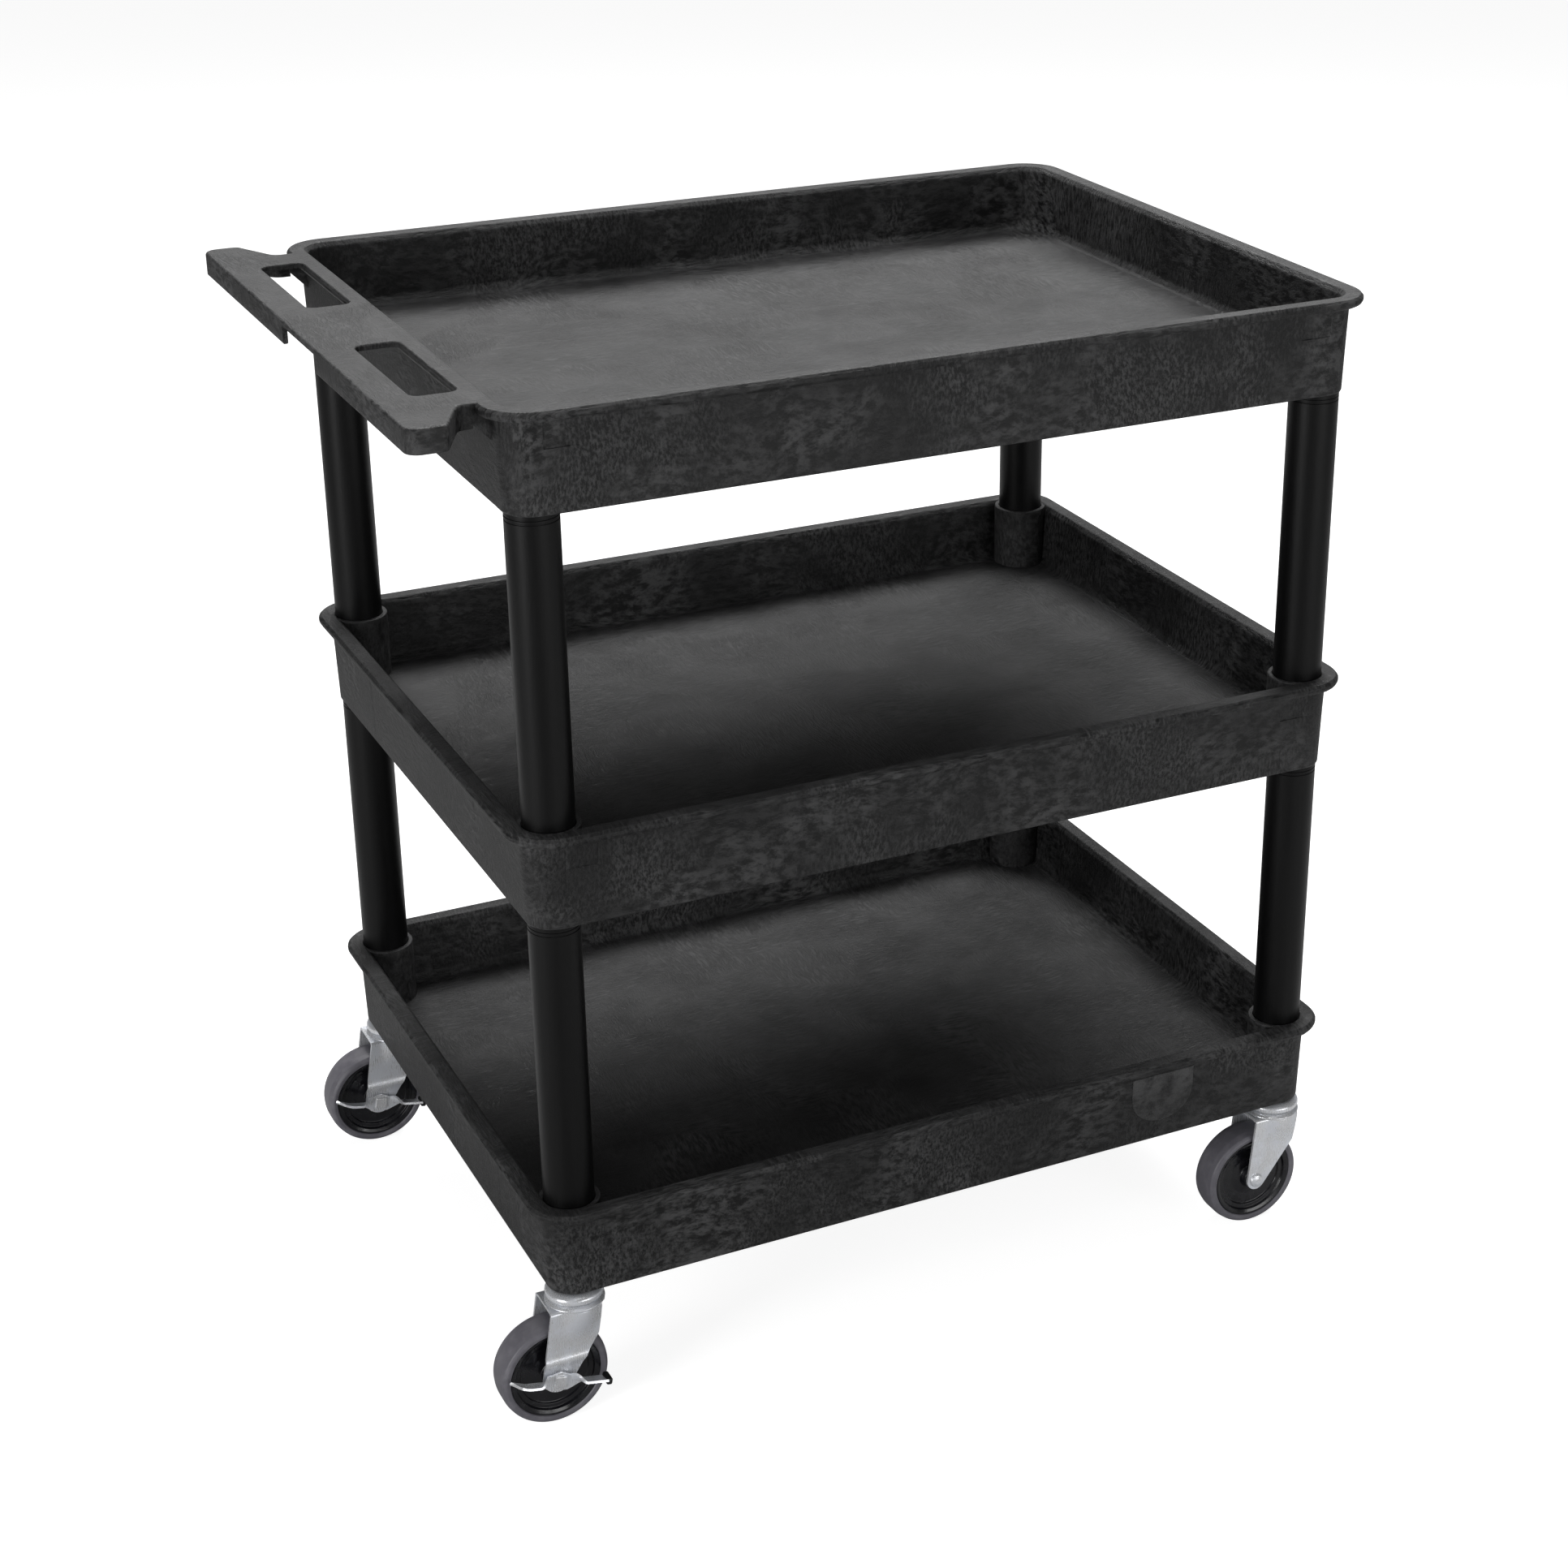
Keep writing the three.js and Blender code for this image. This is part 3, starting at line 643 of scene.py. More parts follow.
@dataclass
class Footprint:
    """The outline that every tub shares, over the edge of its lip."""

    centre: Vector
    half_length: float
    half_width: float
    corner_radius: float = 40 * MM
    smallest_radius: float = 8 * MM
    corner_steps: int = 12
    edge_step: float = 14 * MM
    seam_half: float = 1.6 * MM
    long_seams: tuple[float, ...] = (-315 * MM, -128 * MM, -75 * MM, 315 * MM)
    end_seams: tuple[float, ...] = (-150 * MM, 150 * MM)
    recess: tuple[float, ...] = (334 * MM, 334.7 * MM, 363.3 * MM, 364 * MM)

    def stations(self, half: float, seams: Sequence[float]) -> list[float]:
        """Fractions of half a straight side where points stand: evenly, and three at each seam."""
        reach = half - self.corner_radius
        parts = round(2 * reach / self.edge_step)
        marks = [seam + side * self.seam_half for seam in seams for side in (-1, 0, 1)]
        marks += [sign * edge for sign in (-1, 1) for edge in self.recess if half == self.half_length]
        even = [-reach + 2 * reach * part / parts for part in range(1, parts)]
        kept = [place for place in even if all(abs(place - mark) > 2 * self.seam_half for mark in marks)]
        return [place / reach for place in sorted(kept + marks)]

    def ring(self, inset: float, height: float) -> list[Vector]:
        """The outline, shrunk by an inset, as points at a height."""
        radius = max(self.corner_radius - inset, self.smallest_radius)
        x, y = self.half_length - inset - radius, self.half_width - inset - radius
        along = [(x * f, y + radius) for f in self.stations(self.half_length, self.long_seams)]
        across = [(x + radius, y * f) for f in self.stations(self.half_width, self.end_seams)]
        sides = (
            along[::-1], [(-u, v) for u, v in across[::-1]],
            [(u, -v) for u, v in along], across,
        )
        points = []
        for quarter, (sign_x, sign_y) in enumerate(((1, 1), (-1, 1), (-1, -1), (1, -1))):
            for step in range(self.corner_steps + 1):
                angle = (quarter + step / self.corner_steps) * math.pi / 2
                points.append((sign_x * x + radius * math.cos(angle), sign_y * y + radius * math.sin(angle)))
            points += sides[quarter]
        return [Vector((self.centre.x + u, self.centre.y + v, height)) for u, v in points]


@dataclass
class Tub:
    """A lipped tub: its walls and lip, floor, ribs and leg sockets."""

    name: str
    footprint: Footprint
    rim: float
    legs: list[Vector]
    socket_above: bool
    caster_socket: bool = False
    height: float = 89 * MM
    depth: float = 64 * MM
    floor_thickness: float = 5 * MM
    lip_reach: float = 11.8 * MM
    wall_draft: float = 2.6 * MM
    rib_place: float = 90 * MM
    rib_depth: float = 14 * MM
    rib_thickness: float = 4 * MM
    leg_radius: float = 22.5 * MM
    socket_wall: float = 4.5 * MM
    stem_bore: float = 11.3 * MM
    waviness: float = 0.35 * MM
    seam_depth: float = 0.45 * MM
    recess_depth: float = 0.7 * MM
    shell: Object = field(init=False)

    def skin(self) -> list[Pair]:
        """(inset, height) round the section: out under the floor, up, over the lip and down inside."""
        corners = [
            (60, -69, 0), (40, -69, 0), (22.5, -69, 2), (20.4, -89, 1.4), (14.4, -89, 2.0),
            (12.86, -35.2, 0), (12.83, -34.5, 0), (12.81, -33.8, 0), (11.9, -10.5, 2.5),
            (1.4, -8.2, 1.6), (-0.1, -5.2, 1.2), (0, -2.6, 1.4), (2.6, -0.2, 1.8), (9, 0, 6),
            (15.4, -0.3, 3), (19.2, -5, 4), (22.5, -57, 7), (27.4, -64, 6), (34, -64, 0), (52, -64, 0),
        ]
        outline = filleted([(u * MM, v * MM, r * MM) for u, v, r in corners], steps=4)
        return [(max(inset, 0.0), self.rim + height) for inset, height in outline]

    def raise_walls(self) -> None:
        """Lofts the shell, with the lip a little wavy as moulded."""
        self.shell = loft(self.name, [self.footprint.ring(*section) for section in self.skin()])
        lip_inside = self.footprint.half_width - 4 * MM
        for vertex in self.shell.data.vertices:
            place = vertex.co
            away = abs(place.y) > lip_inside or abs(place.x - self.footprint.centre.x) > (
                self.footprint.half_length - 4 * MM)
            if away and place.z > self.rim - 10 * MM:
                wave = noise.noise(Vector((place.x, place.y, self.rim)) * 26) - 0.9
                place.z += self.waviness * wave * smoothstep(self.rim, self.rim - 3 * MM, place.z)

    def score_floor(self) -> None:
        """Divides the floor's faces, and sinks the floor a little over each rib."""
        floor, plan = self.rim - self.depth, self.footprint
        build = bmesh.new()
        build.from_mesh(self.shell.data)
        lanes = [side * self.rib_place + step * plan.seam_half for side in (-1, 1) for step in (-1, 0, 1)]
        rows = [plan.centre.x + (k - 9.5) * 38 * MM for k in range(20)]
        divide_flat(build, floor, Vector((0, 1, 0)), lanes)
        divide_flat(build, floor, Vector((1, 0, 0)), rows)
        edge_x = plan.half_length - 36 * MM
        for vertex in build.verts:
            x, y, z = vertex.co
            on_line = abs(z - floor) < TINY and abs(abs(y) - self.rib_place) < TINY
            if on_line and abs(x - plan.centre.x) < edge_x:
                vertex.co.z -= self.seam_depth
        build.to_mesh(self.shell.data)
        build.free()

    def score_walls(self) -> None:
        """Upright mould seams: inside the long walls and outside the end walls."""
        plan, low, high = self.footprint, self.rim - self.depth + 8 * MM, self.rim - 9 * MM
        foot = self.rim - self.height + 4 * MM
        for vertex in self.shell.data.vertices:
            x, y, z = vertex.co.x - plan.centre.x, vertex.co.y - plan.centre.y, vertex.co.z
            at_long = any(abs(x - seam) < TINY * 10 for seam in plan.long_seams)
            at_end = any(abs(y - seam) < TINY * 10 for seam in plan.end_seams)
            if at_long and low < z < high and 10 * MM < plan.half_width - abs(y) < 30 * MM:
                inner = plan.half_width - abs(y) > 17 * MM
                vertex.co.y += math.copysign(self.seam_depth * inner, y)
            if at_end and foot < z < high and 10 * MM < plan.half_length - abs(x) < 17 * MM:
                vertex.co.x -= math.copysign(self.seam_depth, x)

    def clear_legs(self) -> None:
        """Pushes the walls' inner faces out round the leg tubes."""
        floor, clear = self.rim - self.depth, self.leg_radius + 0.5 * MM
        plan = self.footprint
        for vertex in self.shell.data.vertices:
            here = vertex.co
            under = here.z < floor - self.floor_thickness - 0.5 * MM
            over = floor + 0.5 * MM < here.z < self.rim - 0.6 * MM and self.socket_above
            inset = min(plan.half_length - abs(here.x - plan.centre.x), plan.half_width - abs(here.y))
            if inset < 15.5 * MM or not (under or over):
                continue
            for leg in self.legs:
                away = Vector((here.x - leg.x, here.y - leg.y, 0))
                if away.length < clear:
                    vertex.co += away.normalized() * (clear - away.length)

    def sink_recesses(self) -> None:
        """Sinks a shallow rectangle into both long walls, near each end, under the lip."""
        plan, low, high = self.footprint, self.rim - 34.5 * MM, self.rim - 10 * MM
        near, far = plan.recess[1], plan.recess[2]
        for vertex in self.shell.data.vertices:
            x, y, z = abs(vertex.co.x - plan.centre.x), vertex.co.y, vertex.co.z
            outer = plan.half_width - abs(y) < 16 * MM
            if near - TINY < x < far + TINY and low < z < high and outer:
                vertex.co.y -= math.copysign(self.recess_depth, y)

    def sockets(self) -> list[Object]:
        """The collars round the legs, above and below the floor, and the ribs under it."""
        foot, floor = self.rim - self.height + 0.4 * MM, self.rim - self.depth
        underside = floor - self.floor_thickness
        radius = self.leg_radius + 0.3 * MM
        outer = radius + self.socket_wall
        bore = self.stem_bore if self.caster_socket else radius
        spans = [(bore, foot, underside + MM)]
        if self.socket_above:
            spans.append((radius, floor - MM, self.rim - MM))
        made = []
        for inner, low, high in spans:
            collar = filleted([
                (inner, low, 0), (outer, low, 0.8 * MM), (outer, high, 1.4 * MM), (inner, high, 0.8 * MM),
            ], closed=True)
            made += [turned("collar", collar, Vector((p.x, p.y, 0)), segments=64) for p in self.legs]
        under_skin = 0.5 * MM
        wall, foot_wall = self.lip_reach + under_skin, self.lip_reach + self.wall_draft + under_skin
        hull = loft("hull", [
            self.footprint.ring(foot_wall, self.rim - self.height - MM),
            self.footprint.ring(foot_wall, self.rim - self.height + MM),
            self.footprint.ring(wall, self.rim - 12.3 * MM),
            self.footprint.ring(wall, self.rim + MM),
        ])
        collars = gathered("collars", made)
        carve(collars, hull, Cut.KEEP_COMMON)
        half, middle = self.footprint.half_length - 21 * MM, self.footprint.centre.x
        ribs = [box_solid(
            "rib", (middle - half, place - self.rib_thickness / 2, underside - self.rib_depth),
            (middle + half, place + self.rib_thickness / 2, underside + MM),
        ) for place in (-self.rib_place, self.rib_place)]
        return [collars, *ribs]

    def blank_pad(self) -> Object:
        """A flat-topped, round-bottomed blank pad moulded on the right-hand long wall."""
        plan, left, right = self.footprint, 190 * MM, 257 * MM
        low, high, steps = self.rim - 69 * MM, self.rim - 17 * MM, 16
        half, round_ = (right - left) / 2, 30 * MM
        outline = [(left, high)]
        for k in range(steps + 1):
            angle = math.pi * k / steps
            x = (left + right) / 2 - half * math.cos(angle)
            outline.append((x, low + round_ * (1 - math.sin(angle))))
        outline.append((right, high))

        def ring(inset: float, proud: float) -> list[Vector]:
            """The pad's outline at a distance out from the wall."""
            points = []
            for x, z in offset_ring(outline, -inset):
                slope = (self.rim - 10.5 * MM - z) * 2.5 / 78.5
                wall = plan.half_width - 11.9 * MM - slope
                points.append(Vector((plan.centre.x + x, -(wall + proud), z)))
            return points

        return loft("pad", [ring(0, -1.2 * MM), ring(0, 0.35 * MM), ring(0.5 * MM, 0.75 * MM)])

    def finish(self) -> Object:
        """Dresses the shell and gives it to the cart's body."""
        return dress(self.shell, TUB_PLASTIC, "cart", [self.name.removesuffix("_shell")])


@dataclass
class Handle:
    """The handle moulded into one end of the top tub: plate, skirt, hand slots and braces."""

    tub: Tub
    end: float
    plate: float = 5 * MM
    skirt_drop: float = 21 * MM
    skirt_thickness: float = 4.5 * MM
    notch: float = 262 * MM
    slot_inner: float = 66 * MM
    slot_outer: float = 224 * MM
    slot_far: float = 38 * MM
    skirt_gap: tuple[float, float] = (-62 * MM, 38 * MM)
    edge_radius: float = 2.6 * MM

    @property
    def lip(self) -> float:
        """Where the tub's own lip ends."""
        return self.tub.footprint.centre.x - self.tub.footprint.half_length

    def outline(self) -> list[Pair]:
        """The handle seen from above, anticlockwise: two lobes with a notch beyond each."""
        lip, side = self.lip, self.tub.footprint.half_width
        inside = lip + 14 * MM
        half = [
            (inside, self.notch, 0), (lip - 14 * MM, self.notch, 10 * MM),
            (lip - 36 * MM, side - 1 * MM, 16 * MM), (lip - 44 * MM, side, 8 * MM),
            (self.end, side, 24 * MM),
        ]
        mirrored = [(x, -y, radius) for x, y, radius in reversed(half)]
        return filleted([*half, *mirrored], steps=8, closed=True)

    def slot(self, sign: int) -> list[Pair]:
        """One hand slot's outline, anticlockwise."""
        left, right = self.lip - self.slot_far, self.lip
        low, high = sorted((sign * self.slot_inner, sign * self.slot_outer))
        round_ = 8 * MM
        return filleted(
            [(left, low, round_), (right, low, round_), (right, high, round_), (left, high, round_)],
            steps=6, closed=True)

    def slot_cutter(self, sign: int) -> Object:
        """A solid that cuts a slot and rounds its upper rim."""
        outline, rim, roll = self.slot(sign), self.tub.rim, 2.2 * MM
        sections = [(0.0, rim - 40 * MM), (0.0, rim - roll)]
        for step in range(1, 5):
            angle = math.pi / 2 * step / 4
            sections.append((roll * (1 - math.cos(angle)), rim - roll + roll * math.sin(angle)))
        sections.append((roll, rim + 5 * MM))
        rings = [
            [Vector((*point, height)) for point in offset_ring(outline, out)]
            for out, height in sections
        ]
        return loft("slot", rings)

    def brace(self, place: float) -> Object:
        """A triangular brace under the plate, against the tub's end wall."""
        wall, rim, half = self.lip + 13 * MM, self.tub.rim, 2.5 * MM
        top, reach = rim - 2 * MM, wall - 16 * MM
        outline = [(wall, rim - 33 * MM), (wall, top), (reach, top), (reach, rim - 16.5 * MM)]
        rings = [[Vector((x, place + side * half, z)) for x, z in outline] for side in (-1, 1)]
        return loft("brace", rings)

    def build(self) -> Object:
        """Builds the handle, which ends inside the tub's lip."""
        outline, rim, upper, lower = self.outline(), self.tub.rim - 0.05 * MM, self.edge_radius, 1.3 * MM
        foot, inner = rim - self.skirt_drop, self.skirt_thickness
        sections = [(7 * MM, rim)]
        for k in range(7):
            angle = k * math.pi / 12
            sections.append((upper * (1 - math.sin(angle)), rim - upper + upper * math.cos(angle)))
        quarter = [k * math.pi / 8 for k in range(5)]
        sections += [(lower * (1 - math.cos(a)), foot + lower * (1 - math.sin(a))) for a in quarter]
        sections += [(inner - lower * (1 - math.sin(a)), foot + lower * (1 - math.cos(a))) for a in quarter]
        sections += [(inner, rim - self.plate - 2 * MM), (inner + 2 * MM, rim - self.plate)]
        rings = [
            [Vector((*point, height)) for point in offset_ring(outline, -inset)]
            for inset, height in sections
        ]
        body = loft("handle", rings)
        lip, width = self.lip, self.tub.footprint.half_width
        carve(body, box_solid("gap", (self.end - MM, self.skirt_gap[0], foot - MM),
                              (self.end + 30 * MM, self.skirt_gap[1], rim - self.plate)), Cut.REMOVE)
        carve(body, box_solid("tub_side", (lip - 2 * MM, -width, foot - 2 * MM),
                              (lip + 20 * MM, width, rim - self.plate)), Cut.REMOVE)
        for place in (-258 * MM, 258 * MM):
            carve(body, self.brace(place), Cut.JOIN)
        for sign in (-1, 1):
            carve(body, self.slot_cutter(sign), Cut.REMOVE)
        return body


# ---------- legs ----------


@dataclass
class LegTube:
    """A leg tube, with the two fine rings turned near its upper end."""

    node: str
    visible_top: float
    wall: float = 3 * MM
    ring_depth: float = 0.5 * MM

    def build(self) -> Object:
        """Turns the tube and dresses it."""
        low, high = (Vector(v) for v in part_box(self.node))
        radius = (high.y - low.y) / 2
        inner = radius - self.wall
        groove = []
        for below in (7 * MM, 3.5 * MM):
            at = self.visible_top - below
            groove += [(radius, at - 0.8 * MM, 0), (radius - self.ring_depth, at - 0.4 * MM, 0),
                       (radius - self.ring_depth, at + 0.4 * MM, 0), (radius, at + 0.8 * MM, 0)]
        outline = [(inner, low.z, 0.5 * MM), (radius, low.z, 0.8 * MM), *groove,
                   (radius, high.z, 0.8 * MM), (inner, high.z, 0.5 * MM)]
        centre = Vector(((low.x + high.x) / 2, (low.y + high.y) / 2, 0))
        tube = turned(self.node + "_tube", filleted(outline, steps=3, closed=True), centre, segments=96)
        return dress(tube, LEG_PLASTIC, "cart", [self.node])


# ---------- casters ----------


@dataclass
class Caster:
    """One swivel caster, and the brake lever on it if it has one."""

    corner: str
    braked: bool
    sheet: float = 2.6 * MM
    fork_half: float = 20.6 * MM
    crown_top: float = 119 * MM
    crown_back: float = 29 * MM
    race_radius: float = 27.3 * MM
    bend: float = 3 * MM
    knee: Pair = (14 * MM, 88 * MM)
    wheel_segments: int = 128
    lever_tilt: float = math.radians(11)
    hub: Vector = field(init=False)
    swivel: Vector = field(init=False)

    def __post_init__(self) -> None:
        """Takes the swivel axis and the axle from the frame."""
        stem = centre_of(f"{self.corner}_swivel_stem")
        self.swivel = Vector((stem.x, stem.y, 0))
        self.hub = centre_of(f"{self.corner}_tread")

    @property
    def tip_radius(self) -> float:
        """Radius of a fork leg's round end."""
        return (14 if self.braked else 10) * MM

    def named(self, part: str) -> str:
        """The name of one of this caster's nodes, bodies or pieces."""
        return f"{self.corner}_{part}"

    def build(self) -> None:
        """Builds every piece of the caster."""
        self.stem()
        self.balls()
        self.fork()
        self.bolt()
        self.nut()
        self.wheel()
        if self.braked:
            BrakeLever(self).build()

    def stem(self) -> None:
        """The pressed cap with its rolled skirt, the stem above it and the kingpin below."""
        outline = [
            (0, 112, 0), (7.6, 112, 0.8), (7.6, 116, 0), (5, 116, 0), (5, 127.5, 0.5), (19.5, 127.5, 1.5),
            (22.8, 125, 1), (22.8, 124.6, 0), (26.4, 124.5, 0.9), (26.4, 129.6, 3.5), (21.5, 132.2, 4),
            (13, 133.4, 3), (9, 134, 1), (5.5, 134, 0.5), (5.5, 181, 0), (3.5, 183, 0.6), (0, 183, 0),
        ]
        profile = filleted([(u * MM, v * MM, r * MM) for u, v, r in outline], steps=4)
        stem = turned(self.named("stem_and_cap"), profile, self.swivel)
        dress(stem, ZINC_STEEL, "cart", [self.named("swivel_stem")])

    def balls(self) -> None:
        """The ring of steel balls between cap and crown."""
        build = bmesh.new()
        low, high = (Vector(v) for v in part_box(self.named("ball_ring")))
        radius, count, ball = 16.6 * MM, 20, (high.z - low.z) / 2 - 0.02 * MM
        middle = self.swivel + Vector((0, 0, (low.z + high.z) / 2))
        for step in range(count):
            angle = math.tau * step / count
            place = middle + Vector((radius * math.cos(angle), radius * math.sin(angle), 0))
            bmesh.ops.create_icosphere(build, subdivisions=2, radius=ball, matrix=Matrix.Translation(place))
        dress(mesh_object(self.named("balls"), build), ZINC_STEEL, "cart", [self.named("ball_ring")])

    def leg_edges(self, height: float) -> Pair:
        """Where a fork leg's trailing and leading edges are at a height, from the swivel axis."""
        axle_x, axle_z, r = self.hub.x - self.swivel.x, self.hub.z, self.tip_radius
        drop = axle_z - height
        if drop > 0:
            back = axle_x - math.sqrt(max(r * r - drop * drop, 0.0))
        else:
            t = -drop / (self.crown_top - axle_z)
            back = axle_x - r + (-self.crown_back - axle_x + r) * t
        turn = math.radians(36)
        join_x, join_z = axle_x + r * math.cos(turn), axle_z - r * math.sin(turn)
        knee_x, knee_z = self.knee
        if height < join_z:
            front = axle_x + math.sqrt(max(r * r - drop * drop, 0.0))
        elif height < knee_z:
            front = join_x + (knee_x - join_x) * (height - join_z) / (knee_z - join_z)
        else:
            front = knee_x + (18.6 * MM - knee_x) * (height - knee_z) / (self.crown_top - knee_z)
        return back, front

    def swell(self, x: float, height: float) -> float:
        """How far the crown's sides swell out round the ball race."""
        span = 20.5 * MM
        if abs(x) >= span:
            return 0.0
        full = self.race_radius - 0.4 * MM - self.fork_half
        return full * math.cos(math.pi * x / span / 2) ** 1.5 * smoothstep(84 * MM, 113 * MM, height)

    def joggle(self, height: float) -> float:
        """The step pressed outwards near the foot of a braked fork's outer leg."""
        return 2.0 * MM * math.exp(-(((height - 67.5 * MM) / (3.6 * MM)) ** 2)) if self.braked else 0.0

    def fork_rows(self, columns: int = 26) -> list[list[Vector]]:
        """The fork's outer face as a grid, from one leg's tip over the crown to the other's."""
        r, top = self.tip_radius, self.crown_top
        heights = [self.hub.z - r * math.cos(math.radians(a)) for a in (4, 12, 22, 33, 45, 57, 70, 82)]
        steps = 26
        heights += [self.hub.z + (top - self.bend - self.hub.z) * k / steps for k in range(steps + 1)]
        leg = []
        for height in heights:
            back, front = self.leg_edges(height)
            row = []
            for k in range(columns + 1):
                x = back + (front - back) * k / columns
                out = self.fork_half + self.swell(x, height) + self.joggle(height)
                row.append(Vector((x, -out, height)))
            leg.append(row)
        back, front = self.leg_edges(top)
        edge = leg[-1]
        for k in range(1, 6):
            a = math.pi / 2 * k / 5
            inwards, height = self.bend * (1 - math.cos(a)), top - self.bend + self.bend * math.sin(a)
            leg.append([Vector((p.x, p.y + inwards, height)) for p in edge])
        across = []
        for k in range(1, 6):
            t = k / 5
            y = leg[-1][0].y * (1 - t)
            reach = max(math.sqrt(max(self.race_radius ** 2 - y * y, 0)) - 0.6 * MM, front)
            across.append([
                Vector((back + (reach - back) * i / columns, p.y * (1 - t), p.z))
                for i, p in enumerate(leg[-1])
            ])
        left = leg + across
        return left + [[Vector((p.x, -p.y, p.z)) for p in row] for row in reversed(left[:-1])]

    def fork(self) -> None:
        """The pressed fork with the domed race on its crown, bored for the kingpin and the axle."""
        rows = [[self.swivel + p for p in row] for row in self.fork_rows()]
        fork = sheet(self.named("fork_sheet"), rows, self.sheet, 0.5 * MM)
        dome = [
            (5.3, 117, 0), (26.6, 117, 0), (27.3, 119.2, 0.8),
            (24.4, 121.4, 2.2), (20.4, 123.2, 1.4), (5.3, 123.4, 0),
        ]
        profile = filleted([(u * MM, v * MM, r * MM) for u, v, r in dome], steps=4, closed=True)
        race = turned("race", profile, self.swivel)
        carve(fork, race, Cut.JOIN)
        pin, foot, head = 5.3 * MM, 100 * MM, 130 * MM
        kingpin = turned("kingpin", [(0, foot), (pin, foot), (pin, head), (0, head)], self.swivel, segments=32)
        carve(fork, kingpin, Cut.REMOVE)
        across = 60 * MM
        axle = turned("axle", [(0, -across), (4.3 * MM, -across), (4.3 * MM, across), (0, across)],
                      self.hub, Axis.ACROSS, 32)
        carve(fork, axle, Cut.REMOVE)
        dress(fork, ZINC_STEEL, self.named("caster"), [self.named("fork")], 40)

    def bolt(self) -> None:
        """The axle bolt: a domed head, or a square one over the brake lever, and a chamfered tail."""
        low, high = (Vector(v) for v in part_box(self.named("axle_bolt")))
        face, tail = low.y + 4 * MM - self.hub.y, high.y - self.hub.y
        shank = filleted([
            (0, face - 0.5 * MM, 0), (4 * MM, face - 0.5 * MM, 0), (4 * MM, tail, 0.8 * MM), (0, tail, 0)])
        bolt = turned("shank", shank, self.hub, Axis.ACROSS, 48)
        if self.braked:
            half, thick = 5.6 * MM, 3.9 * MM
            turn = Matrix.Translation(self.hub) @ Matrix.Rotation(self.lever_tilt, 4, "Y")
            head = box_solid("head", (-half, face - thick, -half), (half, face, half), 0.9 * MM)
            head.data.transform(turn)
            carve(bolt, head, Cut.JOIN)
        else:
            outline = [(0, -3.4, 0), (3, -3.3, 3), (6.6, -2.0, 1.6), (7.2, 0, 0), (0, 0, 0)]
            profile = filleted([(u * MM, face + v * MM, r * MM) for u, v, r in outline])
            head = turned("head", profile, self.hub, Axis.ACROSS, 64)
            carve(bolt, head, Cut.JOIN)
        bolt.name = self.named("bolt")
        dress(bolt, ZINC_STEEL, self.named("caster"), [self.named("axle_bolt")])

    def nut(self) -> None:
        """A hexagonal locking nut with chamfered corners and a round collar."""
        low, high = (Vector(v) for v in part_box(self.named("axle_nut")))
        near, far = low.y - self.hub.y, high.y - self.hub.y
        radius = 7.4 * MM
        hexagon = turned("nut", [(0, near), (radius, near), (radius, far - 1.6 * MM), (0, far - 1.6 * MM)],
                         self.hub, Axis.ACROSS, 6)
        corners = [
            (0, near, 0), (6.6 * MM, near, 0), (7.5 * MM, near + 0.6 * MM, 0), (7.5 * MM, far - 2.4 * MM, 0),
            (5.6 * MM, far - 1.6 * MM, 0.4 * MM), (5.2 * MM, far, 0.5 * MM), (0, far, 0),
        ]
        cone = turned("cone", filleted(corners), self.hub, Axis.ACROSS, 64)
        collar = turned("collar", filleted([
            (0, far - 2 * MM, 0), (5.4 * MM, far - 2 * MM, 0), (5.2 * MM, far, 0.6 * MM), (0, far, 0)]),
            self.hub, Axis.ACROSS, 48)
        carve(hexagon, cone, Cut.KEEP_COMMON)
        carve(hexagon, collar, Cut.JOIN)
        hole = turned("hole", [(0, near - MM), (4.2 * MM, near - MM), (4.2 * MM, far + MM), (0, far + MM)],
                      self.hub, Axis.ACROSS, 32)
        carve(hexagon, hole, Cut.REMOVE)
        hexagon.name = self.named("nut")
        dress(hexagon, ZINC_STEEL, self.named("caster"), [self.named("axle_nut")])

    def wheel(self) -> None:
        """The moulded centre with its stepped rings, and the tread round it."""
        side = [
            (6.4, 16.6, 0.4), (10.6, 16.6, 1.0), (12.2, 9.4, 1.6), (21, 8.2, 3), (31.5, 8.6, 1.5),
            (32.6, 10.2, 0.7), (36.2, 10.8, 0.8), (37.4, 13.0, 0.8), (40.2, 14.2, 1.0), (41.9, 14.6, 0.3),
        ]
        core = self.two_sided(side)
        dress(turned(self.named("wheel_centre"), core, self.hub, Axis.ACROSS, self.wheel_segments),
              WHEEL_PLASTIC, self.named("wheel"), [self.named("wheel_core")])
        radius = self.hub.z / MM
        side = [
            (42.3, 14.4, 0.3), (43.1, 15.4, 0.8), (46.4, 15.9, 2.5),
            (49.3, 13.6, 2.6), (radius, 7.5, 14), (radius, 0, 0),
        ]
        tyre = self.two_sided(side)
        dress(turned(self.named("tyre"), tyre, self.hub, Axis.ACROSS, self.wheel_segments),
              TREAD_RUBBER, self.named("wheel"), [self.named("tread")])

    @staticmethod
    def two_sided(side: Sequence[Rounded]) -> list[Pair]:
        """A wheel's whole section from one side's corners, which run outwards from the hub."""
        scaled = [(u * MM, v * MM, r * MM) for u, v, r in side]
        mirrored = [(u, -v, r) for u, v, r in reversed(scaled) if v != 0]
        return filleted([*scaled, *mirrored], steps=4, closed=True)


